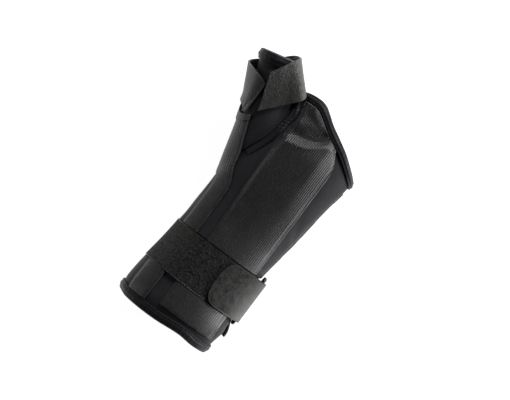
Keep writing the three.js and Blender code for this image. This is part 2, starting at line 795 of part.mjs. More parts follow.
function makeThenarBinding() {
  const stepCount = 18;
  return sweptSolid(stepCount, thenarProfile.length, (step, corner) => {
    const { across, height } = thenarProfile[corner];
    const turn = degree * mix(thenarTurns.from, thenarTurns.to, step / stepCount);
    return wrapEdgePoint(turn, layerGap + across * thenarWidth, layerGap + height * thenarThickness);
  }, false);
}

// Thumb strap: straight lines between its upper and lower edge, kept clear of the wrap.
function makeThumbStrap() {
  const columns = 27;
  const rows = 3;
  const samples = steps(31).flatMap((around) => steps(12, firstRise, 1).map((rise) => {
    const turn = 2 * Math.PI * around;
    const clearance = thumbStrapGap + (rise > hemStart ? bindingTape + layerGap : 0);
    return { place: wrapPoint(turn, rise, 0), normal: wrapNormal(turn, rise), clearance };
  }));
  const dot = (a, b) => a[0] * b[0] + a[1] * b[1] + a[2] * b[2];
  const minus = (a, b) => a.map((value, axis) => value - b[axis]);
  const clearOfWrap = (point) => {
    const gapTo = (sample) => Math.hypot(...minus(point, sample.place));
    const nearest = samples.reduce((best, sample) => (gapTo(sample) < gapTo(best) ? sample : best));
    const gap = dot(minus(point, nearest.place), nearest.normal);
    const push = Math.max(nearest.clearance - gap, 0);
    return point.map((value, axis) => value + push * nearest.normal[axis]);
  };
  const edgePoint = (at, edge) => {
    const rowsOf = [0, 1, 2].map((axis) =>
      thumbStrapRows.map((row) => ({ at: row.at, value: row[edge][axis] })));
    return rimMiddle.map((value, axis) => value + thumbRadius * valueAt(rowsOf[axis], at, 'value'));
  };
  const inner = steps(columns).map((at) => {
    const upper = edgePoint(at, 'upper');
    const lower = edgePoint(at, 'lower');
    return steps(rows).map((share) => clearOfWrap(mixPoints(lower, upper, share)));
  });
  const normalAt = (column, row) => {
    const vector = (from, to) => new THREE.Vector3(...to).sub(new THREE.Vector3(...from));
    const before = inner[Math.max(column - 1, 0)][row];
    const after = inner[Math.min(column + 1, columns)][row];
    const below = inner[column][Math.max(row - 1, 0)];
    const above = inner[column][Math.min(row + 1, rows)];
    return vector(before, after).cross(vector(below, above)).normalize().toArray();
  };
  return wallSolid(columns, rows, (column, row, outer) => {
    const normal = normalAt(column, row);
    const height = outer ? thumbStrapThickness : 0;
    return inner[column][row].map((value, axis) => value - height * normal[axis]);
  });
}

addPiece('sleeve', makeSleeve(), neopreneColor, 0.85);
addPiece('dorsal_flap', makeFlap(), neopreneColor, 0.85);
addPiece('palm_panel', makePalmPanel(), webbingColor, 0.75);
addPiece('thumb_stay_strip', makeStrip(), webbingColor, 0.75);
addPiece('thumb_wrap', makeThumbWrap(), neopreneColor, 0.85);
addPiece('thenar_binding', makeThenarBinding(), bindingColor, 0.6);
addPiece('thumb_hem', makeThumbHem(), bindingColor, 0.6);
addPiece('wrist_binding', makeBinding(forearmEnd, -1, wristBindingLeg), bindingColor, 0.6);
addPiece('palm_binding', makeBinding(palmEnd, 1, palmBindingLeg), bindingColor, 0.6);
addPiece('wrist_strap', makeWristStrap(), pileColor, 0.95);
addPiece('ring_tab', makeRingTab(), webbingColor, 0.75);
addPiece('strap_ring', makeRing(), plasticColor, 0.35);
addPiece('thumb_strap', makeThumbStrap(), hookColor, 0.85);
addPiece('mid_strap', makeBackStrap(strapBands[1], midStrapTurns), hookColor, 0.85);
addPiece('hand_strap', makeBackStrap(strapBands[2], handStrapTurns), hookColor, 0.85);

// The origin is at the middle of the box, on the surface that the splint rests on.
splint.updateMatrixWorld(true);
const box = new THREE.Box3().setFromObject(splint, true);
const middle = box.getCenter(new THREE.Vector3());
splint.position.set(-middle.x, -middle.y, -box.min.z);
splint.updateMatrixWorld(true);

export default splint;
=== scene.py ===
# Left-sided thumb spica splint, lying on its back with the palm side up.
import bpy
import numpy as np
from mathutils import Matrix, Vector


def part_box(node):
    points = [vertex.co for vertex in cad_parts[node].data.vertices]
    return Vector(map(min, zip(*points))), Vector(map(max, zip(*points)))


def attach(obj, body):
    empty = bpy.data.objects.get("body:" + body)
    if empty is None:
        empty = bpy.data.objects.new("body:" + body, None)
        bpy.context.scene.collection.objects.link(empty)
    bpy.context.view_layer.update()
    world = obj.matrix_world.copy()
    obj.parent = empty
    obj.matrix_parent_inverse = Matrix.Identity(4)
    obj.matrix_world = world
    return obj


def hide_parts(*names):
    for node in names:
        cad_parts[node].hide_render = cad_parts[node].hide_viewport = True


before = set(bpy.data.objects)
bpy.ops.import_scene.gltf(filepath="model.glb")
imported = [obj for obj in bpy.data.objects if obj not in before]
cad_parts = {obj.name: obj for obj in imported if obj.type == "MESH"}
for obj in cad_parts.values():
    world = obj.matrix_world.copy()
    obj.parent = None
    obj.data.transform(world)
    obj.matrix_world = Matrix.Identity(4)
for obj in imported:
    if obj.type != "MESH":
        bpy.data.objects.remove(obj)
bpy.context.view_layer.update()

# The splint's own lengths are in millimetres: X to the little finger side, Y to the finger end,
# Z to the palm side. They are moved to the frame's origin and turned to metres when a mesh is made.
degree = np.pi / 180
latticeSize = 97


# A value at a share of the way from low to high: low plus that share of their difference.
def mixed(low, high, share):
    return low + (high - low) * share


# Rises smoothly from 0 at low to 1 at high: three times the share squared, less twice its cube.
def eased(low, high, value):
    share = np.clip((value - low) / (high - low), 0, 1)
    return share * share * (3 - 2 * share)


# Smooth curve through a table's rows: cubic pieces, each with the slope between its neighbours.
def tableValue(table, column, place):
    at = np.asarray(table["at"], float)
    value = np.asarray(table[column], float)
    place = np.asarray(place, float)
    before = np.maximum(np.arange(len(at)) - 1, 0)
    after = np.minimum(np.arange(len(at)) + 1, len(at) - 1)
    slope = (value[after] - value[before]) / (at[after] - at[before])
    low = np.clip(np.searchsorted(at, place) - 1, 0, len(at) - 2)
    span = at[low + 1] - at[low]
    share = np.clip((place - at[low]) / span, 0, 1)
    highPart = share * share * (3 - 2 * share)
    lowSlope = share * (1 - share) ** 2 * span * slope[low]
    highSlope = share * share * (share - 1) * span * slope[low + 1]
    return value[low] * (1 - highPart) + value[low + 1] * highPart + lowSlope + highSlope


# Smooth noise from -1 to 1: random values on a square lattice, eased between its points.
def smoothNoise(across, along, size, seed):
    lattice = np.random.default_rng(seed).uniform(-1, 1, (latticeSize, latticeSize))
    a, b = np.broadcast_arrays(np.asarray(across) / size, np.asarray(along) / size)
    i, j = np.floor(a).astype(int), np.floor(b).astype(int)
    s, t = eased(0, 1, a - i), eased(0, 1, b - j)

    def corner(right, up):
        return lattice[(i + right) % latticeSize, (j + up) % latticeSize]

    return mixed(mixed(corner(0, 0), corner(1, 0), s), mixed(corner(0, 1), corner(1, 1), s), t)


# The size of a value raised to a power, with its sign kept.
def signedPower(value, power):
    return np.sign(value) * np.abs(value) ** power


# Curve through points, evenly stepped in its own parameter: the usual four-point cubic.
def smoothPath(points, count):
    points = np.asarray(points, float)
    place = np.linspace(0, len(points) - 1, count)
    low = np.clip(np.floor(place).astype(int), 0, len(points) - 2)
    t = (place - low).reshape((-1,) + (1,) * (points.ndim - 1))
    p0, p1 = points[np.maximum(low - 1, 0)], points[low]
    p2, p3 = points[low + 1], points[np.minimum(low + 2, len(points) - 1)]
    bend = 2 * p0 - 5 * p1 + 4 * p2 - p3
    return 0.5 * (2 * p1 + (p2 - p0) * t + bend * t ** 2 + (3 * p1 - p0 - 3 * p2 + p3) * t ** 3)


# Unit normals of a grid of points: the cross product of its two directions.
def gridNormals(points):
    normal = np.cross(np.gradient(points, axis=1), np.gradient(points, axis=0))
    return normal / np.maximum(np.linalg.norm(normal, axis=2, keepdims=True), 1e-9)


# Sleeve: sizes and sections, as shares of its length, width and depth.
sleeveShape = {
    "length": 210, "width": 90, "depth": 60, "wall": 3.5, "gap": 0.4,
    "palmRoundness": 2.3, "backRoundness": 3, "restingHollow": 3,
    "flap": 2.2, "strap": 1.5, "strip": 1.3, "panel": 1.4, "panelSeat": 0.52, "strapSink": 1.6,
    "sinkRamp": 0.9, "sinkMargin": -0.15, "thumbSideSqueeze": 1.2,
}
sleeveSections = {
    "at": [0, .052, .1, .15, .25, .34, .44, .51, .6, .7, .79, .89, 1],
    "radial": [.42, .438, .433, .422, .392, .375, .366, .358, .355, .348, .311, .255, .2],
    "ulnar": [.486, .508, .528, .512, .492, .502, .534, .559, .58, .608, .64, .65, .661],
    "top": [.97, 1, .98, .95, .89, .84, .79, .77, .76, .76, .75, .71, .66],
}
palmEdge = {
    "at": [-1, -.79, -.55, -.4, -.26, 0, .26, .53, .79, 1],
    "edge": [.985, .997, 1, .994, .98, .949, .924, .896, .862, .829],
}
forearmEdge = {
    "at": [-1, -.8, -.15, .41, .72, 1],
    "edge": [.008, 0, 0, .008, .002, 0],
}
strapBands = [
    {"middle": 52.08, "width": 37, "allRound": True},
    {"middle": 105, "width": 22, "allRound": False},
    {"middle": 143.01, "width": 20, "allRound": False},
]
strapOnBack = 2 * sleeveShape["gap"] + sleeveShape["flap"]
strapOnPalm = 3 * sleeveShape["gap"] + sleeveShape["strip"]
restingHeight = strapOnBack + sleeveShape["strap"] - sleeveShape["strapSink"]
freeHeight, pressedHeight = 9.0, 0.05  # the most that cloth rises clear of a strap and under one


# How deep the straps press in, as a share of their sink: full under a strap, easing off beside
# it, and deeper at the thumb side under the strap that goes all round.
def strapDent(angle, y):
    onBack = 1 - eased(-0.6, -0.2, np.sin(angle))
    atThumb = 1 + sleeveShape["thumbSideSqueeze"] * np.maximum(-np.cos(angle), 0) ** 4
    deepest = np.zeros(np.broadcast(angle, y).shape)
    for band in strapBands:
        outside = np.abs(y - band["middle"]) - band["width"] / 2 - sleeveShape["sinkMargin"]
        depth = 1 - eased(0, sleeveShape["sinkRamp"], outside)
        deepest = np.maximum(deepest, depth * (atThumb if band["allRound"] else onBack))
    return deepest


besideStrap = np.array([-0.2, 0, 0.2, 0.4, 0.6, 0.8])


# Steps along the splint from one place to another, with close ones beside each strap's edges.
def rowsAlong(start, end, count):
    edges = np.array([[band["middle"] - band["width"] / 2 - besideStrap,
                       band["middle"] + band["width"] / 2 + besideStrap] for band in strapBands])
    rows = np.concatenate([np.linspace(start, end, count), edges.ravel()])
    return np.sort(rows[(rows >= start) & (rows <= end)])[:, None]


# Section at a place along: middle and half size in X, then in Z, from the tables' shares.
def sectionAt(y):
    at = y / sleeveShape["length"]
    radial = -sleeveShape["width"] * tableValue(sleeveSections, "radial", at)
    ulnar = sleeveShape["width"] * tableValue(sleeveSections, "ulnar", at)
    top = sleeveShape["depth"] * tableValue(sleeveSections, "top", at)
    bottom = restingHeight - sleeveShape["restingHollow"]
    return (radial + ulnar) / 2, (ulnar - radial) / 2, (top + bottom) / 2, (top - bottom) / 2


# The superellipse's power: one for the palm half, where the sine is positive, one for the back.
def roundnessAt(angle):
    return np.where(np.sin(angle) >= 0, sleeveShape["palmRoundness"], sleeveShape["backRoundness"])


# Place across the section from -1 to 1: the cosine to the power of 2 over the roundness.
def acrossAt(angle):
    return signedPower(np.cos(angle), 2 / roundnessAt(angle))


# Sleeve's outer face: x and z are the half sizes times a power of cosine and sine, a
# superellipse, then moved along its normal by a height and pressed flat at the bottom.
def sleevePoint(angle, y, height):
    angle, y, height = np.broadcast_arrays(angle, y, height)
    middleX, halfWidth, middleZ, halfDepth = sectionAt(y)
    roundness = roundnessAt(angle)
    normalX = signedPower(np.cos(angle), 2 - 2 / roundness) / halfWidth
    normalZ = signedPower(np.sin(angle), 2 - 2 / roundness) / halfDepth
    normalLength = np.hypot(normalX, normalZ)
    lift = height - sleeveShape["strapSink"] * strapDent(angle, y)
    x = middleX + halfWidth * acrossAt(angle) + lift * normalX / normalLength
    z = middleZ + halfDepth * signedPower(np.sin(angle), 2 / roundness)
    z = np.maximum(z + lift * normalZ / normalLength, restingHeight - lift)
    return np.stack([x, y, z], axis=-1)


# Angle on the palm half at an X: the arc cosine of the place across, its power undone.
def angleAtX(x, y):
    middleX, halfWidth, _, _ = sectionAt(y)
    across = np.clip((x - middleX) / halfWidth, -1, 1)
    return np.arccos(signedPower(across, sleeveShape["palmRoundness"] / 2))


# The sleeve's two ends: the length times the share that an edge table gives for the place across.
def palmEnd(angle):
    return sleeveShape["length"] * tableValue(palmEdge, "edge", acrossAt(angle))


def forearmEnd(angle):
    return sleeveShape["length"] * tableValue(forearmEdge, "edge", acrossAt(angle))


# The ring's middle is known in both frames, so it ties the splint's millimetres to the frame.
ringShape = {
    "bar": 3, "opening": 13, "standOff": 6, "height": 36, "sideGap": 1, "corner": 3.2,
    "sides": 20, "cornerSteps": 12,
}
ringSide = sleevePoint(0.0, strapBands[0]["middle"], 0.0)[0] + ringShape["standOff"]
upperBar = np.array([ringSide, ringShape["height"]])
lowerBar = upperBar - [0, ringShape["opening"] + ringShape["bar"]]
ringLow, ringHigh = (np.array(corner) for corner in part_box("strap_ring"))
ringMiddle = np.array([ringSide, strapBands[0]["middle"], (upperBar[1] + lowerBar[1]) / 2])
origin = (ringLow + ringHigh) / 2 * 1000 - ringMiddle


# Mesh object from points in millimetres, faces and, for each face corner, a place on the cloth.
def meshObject(name, points, faces, cloth, materials, zones=None):
    low, middle, high = (points[faces[:, k]] for k in (0, 1, 2))
    volume = np.einsum("ij,ij->", low, np.cross(middle, high))
    last = points[faces[:, -1]]
    volume += np.einsum("ij,ij->", low, np.cross(high, last))
    if volume < 0:
        faces, cloth = faces[:, ::-1], cloth[:, ::-1]
    mesh = bpy.data.meshes.new(name)
    mesh.from_pydata((points + origin) * 0.001, [], faces.tolist())
    layer = mesh.uv_layers.new(name="cloth")
    layer.data.foreach_set("uv", np.ascontiguousarray(cloth, float).ravel())
    mesh.polygons.foreach_set("use_smooth", np.ones(len(faces), bool))
    for material in materials:
        mesh.materials.append(material)
    if zones is not None:
        mesh.polygons.foreach_set("material_index", zones)
    piece = bpy.data.objects.new(name, mesh)
    bpy.context.scene.collection.objects.link(piece)
    return piece


# Closed wall between an outer and an inner grid of points: two faces joined by their rims. The
# place on the cloth is the length along the grid's middle row and middle column.
def wallObject(name, outer, inner, materials, ring=False, zoneAt=None, cloth=None):
    rows, columns = outer.shape[:2]
    index = np.arange(rows * columns).reshape(rows, columns)
    closed = np.concatenate([index, index[:, :1]], axis=1) if ring else index
    loop = np.concatenate([outer, outer[:, :1]], axis=1) if ring else outer
    steps = np.linalg.norm(np.diff(loop[rows // 2], axis=0), axis=1)
    across = np.concatenate([[0], np.cumsum(steps)])
    steps = np.linalg.norm(np.diff(outer[:, columns // 2], axis=0), axis=1)
    along = np.concatenate([[0], np.cumsum(steps)])
    place = np.stack(np.broadcast_arrays(across[None, :], along[:, None]), axis=-1)
    if cloth is not None:
        place = cloth

    def quads(grid):
        corners = [grid[:-1, :-1], grid[:-1, 1:], grid[1:, 1:], grid[1:, :-1]]
        return np.stack([corner.reshape(-1, *grid.shape[2:]) for corner in corners], axis=1)

    face, faceCloth = quads(closed), quads(place)
    zones = zoneAt(quads(place).mean(axis=1)) if zoneAt else np.zeros(len(face), int)
    allFaces = [face, (face + rows * columns)[:, ::-1]]
    allCloth = [faceCloth, faceCloth[:, ::-1]]
    allZones = [zones, zones]
    rims = [(closed[0], place[0]), (closed[-1][::-1], place[-1][::-1])]
    if not ring:
        rims += [(closed[:, -1], place[:, -1]), (closed[::-1, 0], place[::-1, 0])]
    for edge, edgePlace in rims:
        start, end = edge[:-1], edge[1:]
        shift = rows * columns
        allFaces.append(np.stack([start + shift, end + shift, end, start], axis=1))
        edgeCloth = [edgePlace[:-1], edgePlace[1:], edgePlace[1:], edgePlace[:-1]]
        allCloth.append(np.stack(edgeCloth, axis=1))
        rimZones = zoneAt((edgePlace[:-1] + edgePlace[1:]) / 2) if zoneAt else np.zeros(len(start), int)
        allZones.append(rimZones)
    points = np.concatenate([outer.reshape(-1, 3), inner.reshape(-1, 3)])
    zones = np.concatenate(allZones) if zoneAt else None
    return meshObject(name, points, np.concatenate(allFaces), np.concatenate(allCloth), materials, zones)


edgeLook = {"steps": 2, "sharpFrom": 50, "webbing": 0.3, "strap": 0.35, "padding": 0.5}


# Cut edges rounded over a width in millimetres, where two faces meet more sharply than an angle.
def roundEdges(piece, width):
    bevel = piece.modifiers.new("rounded edges", "BEVEL")
    bevel.width = width * 0.001
    bevel.segments = edgeLook["steps"]
    bevel.limit_method = "ANGLE"
    bevel.angle_limit = edgeLook["sharpFrom"] * degree
    return piece


# A finished piece rides on the body and, but for stitches, replaces its CAD node.
def settle(piece, node=None):
    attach(piece, "root")
    if node:
        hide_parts(node)
    print("made", piece.name, len(piece.data.polygons), "faces")
    return piece


# sRGB hex colour to linear: each channel is undone from its display curve.
def linear(hexColour):
    channels = np.array([int(hexColour[k:k + 2], 16) for k in (1, 3, 5)]) / 255
    straight = np.where(channels <= 0.04045, channels / 12.92, ((channels + 0.055) / 1.055) ** 2.4)
    return (*straight, 1.0)


# One node with its settings. An input is a value, another node's first output or a socket.
def addNode(tree, kind, inputs=None, **settings):
    node = tree.nodes.new(kind)
    for key, value in settings.items():
        setattr(node, key, value)
    for socket, value in (inputs or {}).items():
        if isinstance(value, bpy.types.Node):
            tree.links.new(value.outputs[0], node.inputs[socket])
        elif isinstance(value, bpy.types.NodeSocket):
            tree.links.new(value, node.inputs[socket])
        else:
            node.inputs[socket].default_value = value
    return node


# Real sizes of the cloths in millimetres, some of them coarser than life so that they show.
clothSizes = {
    "wale": 1.1, "course": 0.9, "rib": 1.5, "pick": 1.2, "yarn": 0.9, "thickYarn": 1.8, "tapeRib": 1.0,
    "tapeGrain": 1.2, "tuft": 1.9, "shinyFibre": 0.8, "bristle": 4 / 3, "clump": 0.8, "bristleGrain": 0.9,
    "paleFrom": 68, "paleFade": 14, "foldHighlightFrom": 22,
}
clampedScale = {"operation": "MULTIPLY_ADD", "use_clamp": True}


# Even ribs from 0 to 1: half a sine more than half, one wave for each spacing.
def ribs(tree, place, spacing):
    turn = addNode(tree, "ShaderNodeMath", {0: place, 1: 2 * np.pi / spacing}, operation="MULTIPLY")
    wave = addNode(tree, "ShaderNodeMath", {0: turn}, operation="SINE")
    return addNode(tree, "ShaderNodeMath", {0: wave, 1: 0.5, 2: 0.5}, **clampedScale)


# Grains of a size, from 0 to 1, their contrast raised round the middle.
def grains(tree, cloth, size, contrast, detail=2.0):
    noise = addNode(tree, "ShaderNodeTexNoise", {"Vector": cloth, "Scale": 1 / size, "Detail": detail})
    lowest = 0.5 - 0.5 * contrast
    return addNode(tree, "ShaderNodeMath", {0: noise, 1: contrast, 2: lowest}, **clampedScale)


# Cloth: its pattern gives a height for the bump and a share of its light colour, which a slow
# mottle shifts up and down.
def makeCloth(name, look, pattern):
    material = bpy.data.materials.new(name)
    material.use_nodes = True
    tree = material.node_tree
    tree.nodes.clear()
    cloth = addNode(tree, "ShaderNodeUVMap", uv_map="cloth")
    parts = addNode(tree, "ShaderNodeSeparateXYZ", {0: cloth})
    height, light = pattern(tree, cloth, parts.outputs[0], parts.outputs[1])
    cloud = grains(tree, cloth, look["mottle"], 2.0, 3.0)
    centred = addNode(tree, "ShaderNodeMath", {0: cloud, 1: 0.5}, operation="SUBTRACT")
    mottled = {0: centred, 1: look["mottling"], 2: light}
    share = addNode(tree, "ShaderNodeMath", mottled, operation="MULTIPLY_ADD")
    colour = addNode(tree, "ShaderNodeMix", data_type="RGBA", clamp_factor=True)
    colour.inputs[6].default_value = linear(look["dark"])
    colour.inputs[7].default_value = linear(look["light"])
    tree.links.new(share.outputs[0], colour.inputs[0])
    bump = addNode(tree, "ShaderNodeBump", {
        "Height": height, "Strength": look["bump"], "Distance": look["relief"] * 0.001})
    shader = addNode(tree, "ShaderNodeBsdfPrincipled", {
        "Base Color": colour.outputs[2], "Normal": bump, "Roughness": look["roughness"], "IOR": 1.5,
        "Sheen Weight": look["sheen"], "Sheen Roughness": look["sheenRoughness"],
        "Sheen Tint": linear(look["sheenTint"]), "Specular IOR Level": look["specular"]})
    addNode(tree, "ShaderNodeOutputMaterial", {0: shader})
    return material


# Nylon jersey, circular knitted and bonded to neoprene foam: satin black with a blue cast. Its
# loops are drawn 1 mm wide, coarser than the real 0.4 mm, so that they show.
def jerseyPattern(tree, cloth, across, along):
    wales = ribs(tree, across, clothSizes["wale"])
    courses = ribs(tree, along, clothSizes["course"])
    loops = addNode(tree, "ShaderNodeMath", {0: wales, 1: courses}, operation="MULTIPLY")
    return loops, addNode(tree, "ShaderNodeMath", {0: loops, 1: 0.4}, operation="MULTIPLY")


# Webbing woven of dull polyester yarn: lengthwise ribs 1.5 mm apart crossed by picks 1.2 mm
# apart, drawn as fine as shows. Its yarns are uneven, so some of them sparkle.
def webbingPattern(tree, cloth, across, along):
    picks = ribs(tree, along, clothSizes["pick"])
    lowPicks = addNode(tree, "ShaderNodeMath", {0: picks, 1: 0.7, 2: 0.3}, **clampedScale)
    warp = ribs(tree, across, clothSizes["rib"])
    weave = addNode(tree, "ShaderNodeMath", {0: warp, 1: lowPicks}, operation="MULTIPLY")
    yarn = grains(tree, cloth, clothSizes["yarn"], 2.6)
    thick = grains(tree, cloth, clothSizes["thickYarn"], 2.2)
    thickness = addNode(tree, "ShaderNodeMath", {0: thick, 1: 0.8, 2: 0.2}, **clampedScale)
    uneven = addNode(tree, "ShaderNodeMath", {0: weave, 1: thickness}, operation="MULTIPLY")
    raised = addNode(tree, "ShaderNodeMath", {0: uneven, 1: 0.45}, operation="ADD")
    return uneven, addNode(tree, "ShaderNodeMath", {0: raised, 1: yarn}, operation="MULTIPLY")


# Nylon binding tape, woven and folded: fine ribs across its length, satin.
def tapePattern(tree, cloth, across, along):
    height = ribs(tree, across, clothSizes["tapeRib"])
    return height, grains(tree, cloth, clothSizes["tapeGrain"], 1.6)


# Knitted loop, brushed to a pile: tangled fibres with no direction in tufts of 2 mm, a few of
# them shiny. More than 68 mm before the strap's fold, round the thumb side, it is painted paler:
# painted sheen where the strap turns away towards the edge.
def pilePattern(tree, cloth, across, along):
    tufts = grains(tree, cloth, clothSizes["tuft"], 2.8, 3.0)
    fibres = grains(tree, cloth, clothSizes["shinyFibre"], 2.2, 1.0)
    shiny = addNode(tree, "ShaderNodeMath", {0: fibres, 1: 5.0}, operation="POWER")
    # Painted sheen: paler beyond 68 mm from the fold, fading in over 14 mm.
    fade = clothSizes["paleFade"]
    beyond = {0: across, 1: -1 / fade, 2: -clothSizes["paleFrom"] / fade}
    paintedSheen = addNode(tree, "ShaderNodeMath", beyond, **clampedScale)
    lit = addNode(tree, "ShaderNodeMath", {0: tufts, 1: 0.45, 2: shiny}, operation="MULTIPLY_ADD")
    return tufts, addNode(tree, "ShaderNodeMath", {0: paintedSheen, 1: 0.3, 2: lit}, operation="MULTIPLY_ADD")


# Hook tape, moulded of nylon: short bristles 1.3 mm apart that catch the light in grains.
def hookPattern(tree, cloth, across, along):
    spacing = 1 / clothSizes["bristle"]
    dots = addNode(tree, "ShaderNodeTexVoronoi", {"Vector": cloth, "Scale": spacing, "Randomness": 0.6})
    dome = addNode(tree, "ShaderNodeMath", {0: 1.0, 1: dots}, operation="SUBTRACT")
    clumps = grains(tree, cloth, clothSizes["clump"], 2.0)
    height = addNode(tree, "ShaderNodeMath", {0: dome, 1: clumps}, operation="MULTIPLY")
    return height, grains(tree, cloth, clothSizes["bristleGrain"], 2.6)


# Hook tape bent over the ring: over the last 22 mm it is painted paler towards the fold, where
# the place across is 0: a painted highlight where the tape turns to the light.
def foldedHookPattern(tree, cloth, across, along):
    height, grain = hookPattern(tree, cloth, across, along)
    nearness = {0: across, 1: -1 / clothSizes["foldHighlightFrom"], 2: 1.0}
    near = addNode(tree, "ShaderNodeMath", nearness, **clampedScale)
    # Painted highlight: the share of the pale colour grows towards the fold.
    paintedHighlight = addNode(tree, "ShaderNodeMath", {0: near, 1: 2.2}, operation="POWER")
    faint = addNode(tree, "ShaderNodeMath", {0: grain, 1: 0.2}, operation="MULTIPLY")
    return height, addNode(tree, "ShaderNodeMath", {0: paintedHighlight, 1: 0.85, 2: faint}, operation="MULTIPLY_ADD")


clothLooks = {
    "jersey": {"dark": "#323236", "light": "#424247", "mottle": 9.0, "mottling": 0.3, "roughness": 0.55,
               "sheen": 0.04, "sheenRoughness": 0.35, "sheenTint": "#c8c8d2", "specular": 0.12,
               "bump": 0.35, "relief": 0.12},
    "webbing": {"dark": "#0c0c0c", "light": "#40403f", "mottle": 7.0, "mottling": 0.2, "roughness": 0.42,
                "sheen": 0.02, "sheenRoughness": 0.4, "sheenTint": "#d0d0ce", "specular": 0.66,
                "bump": 0.8, "relief": 0.25},
    "tape": {"dark": "#1d1d21", "light": "#2a2a2f", "mottle": 5.0, "mottling": 0.2, "roughness": 0.45,
             "sheen": 0.02, "sheenRoughness": 0.4, "sheenTint": "#c8c8d2", "specular": 0.22,
             "bump": 0.4, "relief": 0.12},
    "pile": {"dark": "#060606", "light": "#464645", "mottle": 5.0, "mottling": 0.25, "roughness": 0.95,
             "sheen": 0.07, "sheenRoughness": 0.6, "sheenTint": "#b8b8b6", "specular": 0.15,
             "bump": 0.9, "relief": 0.5},
    "hook": {"dark": "#1c1c1c", "light": "#4e4e4c", "mottle": 6.0, "mottling": 0.2, "roughness": 0.42,
             "sheen": 0.03, "sheenRoughness": 0.5, "sheenTint": "#dcdcda", "specular": 0.7,
             "bump": 0.8, "relief": 0.35},
    # Its pale light colour carries the painted highlight at the fold.
    "folded hook": {"dark": "#0e0e0e", "light": "#949492", "mottle": 6.0, "mottling": 0.15, "roughness": 0.6,
                    "sheen": 0.03, "sheenRoughness": 0.5, "sheenTint": "#dcdcda", "specular": 0.1,
                    "bump": 0.8, "relief": 0.3},
    "thread": {"dark": "#1e1e20", "light": "#38383c", "mottle": 3.0, "mottling": 0.1, "roughness": 0.5,
               "sheen": 0.1, "sheenRoughness": 0.4, "sheenTint": "#d0d0d8", "specular": 0.3,
               "bump": 0.2, "relief": 0.1},
}
jersey = makeCloth("nylon jersey on neoprene", clothLooks["jersey"], jerseyPattern)
webbing = makeCloth("ribbed woven webbing", clothLooks["webbing"], webbingPattern)
tape = makeCloth("nylon binding tape", clothLooks["tape"], tapePattern)
pile = makeCloth("brushed loop pile", clothLooks["pile"], pilePattern)
hook = makeCloth("moulded hook tape", clothLooks["hook"], hookPattern)
foldedHook = makeCloth("hook tape with painted fold highlight", clothLooks["folded hook"], foldedHookPattern)
thread = makeCloth("bonded nylon thread", clothLooks["thread"], tapePattern)


mouldedLook = {"dark": "#0e0e0f", "light": "#1a1a1b", "roughness": 0.32, "peelScale": 900.0,
               "bump": 0.2, "relief": 0.1}


# Acetal, injection moulded: hard and slightly glossy black, with a faint orange peel 1.1 mm across.
def makeMoulded(look):
    material = bpy.data.materials.new("moulded acetal")
    material.use_nodes = True
    tree = material.node_tree
    tree.nodes.clear()
    place = addNode(tree, "ShaderNodeTexCoord")
    peel = addNode(tree, "ShaderNodeTexNoise", {
        "Vector": place.outputs["Object"], "Scale": look["peelScale"], "Detail": 2.0})
    tone = addNode(tree, "ShaderNodeMix", data_type="RGBA")
    tone.inputs[6].default_value = linear(look["dark"])
    tone.inputs[7].default_value = linear(look["light"])
    tree.links.new(peel.outputs[0], tone.inputs[0])
    bump = addNode(tree, "ShaderNodeBump", {
        "Height": peel, "Strength": look["bump"], "Distance": look["relief"] * 0.001})
    shader = addNode(tree, "ShaderNodeBsdfPrincipled", {
        "Base Color": tone.outputs[2], "Normal": bump, "Roughness": look["roughness"], "IOR": 1.48})
    addNode(tree, "ShaderNodeOutputMaterial", {0: shader})
    return material


moulded = makeMoulded(mouldedLook)
print("materials made")


# Soft folds: each is a ridge or a dip, a bell across and along its own direction.
def softFolds(folds, across, along):
    total = np.zeros(np.broadcast(across, along).shape)
    columns = (folds[key] for key in ("x", "y", "turn", "length", "width", "height"))
    for x, y, turn, length, width, height in zip(*columns):
        dx, dy = across - x, along - y
        down = dx * np.cos(turn * degree) + dy * np.sin(turn * degree)
        over = dy * np.cos(turn * degree) - dx * np.sin(turn * degree)
        total = total + height * np.exp(-(down / length) ** 2 - (over / width) ** 2)
    return total


# Sleeve. Its angle runs once round and its share from the forearm end to the palm opening.
sleeveLook = {"columns": 180, "steps": 165, "unevenness": 0.28, "unevenSize": 13, "unevenRadius": 45,
              "forearmCutTo": 0.1, "palmCutFrom": 0.62, "holeHalfAngle": 27, "holeFrom": 134, "holeTo": 184}
sleeveFolds = {
    "x": [-12, -13, 46, 48, 50, 46, 44, -36, -35],
    "y": [78, 118, 86, 112, 134, 24, 73, 14, 84],
    "turn": [70, 100, 60, 110, 75, 20, 160, 90, 80],
    "length": [14, 12, 12, 10, 14, 8, 9, 12, 14],
    "width": [2.2, 2.4, 2.6, 2.4, 3.0, 2.0, 2.2, 2.6, 2.4],
    "height": [-0.5, -0.5, 0.6, -0.6, 0.5, -0.6, 0.6, 0.5, -0.5],
}


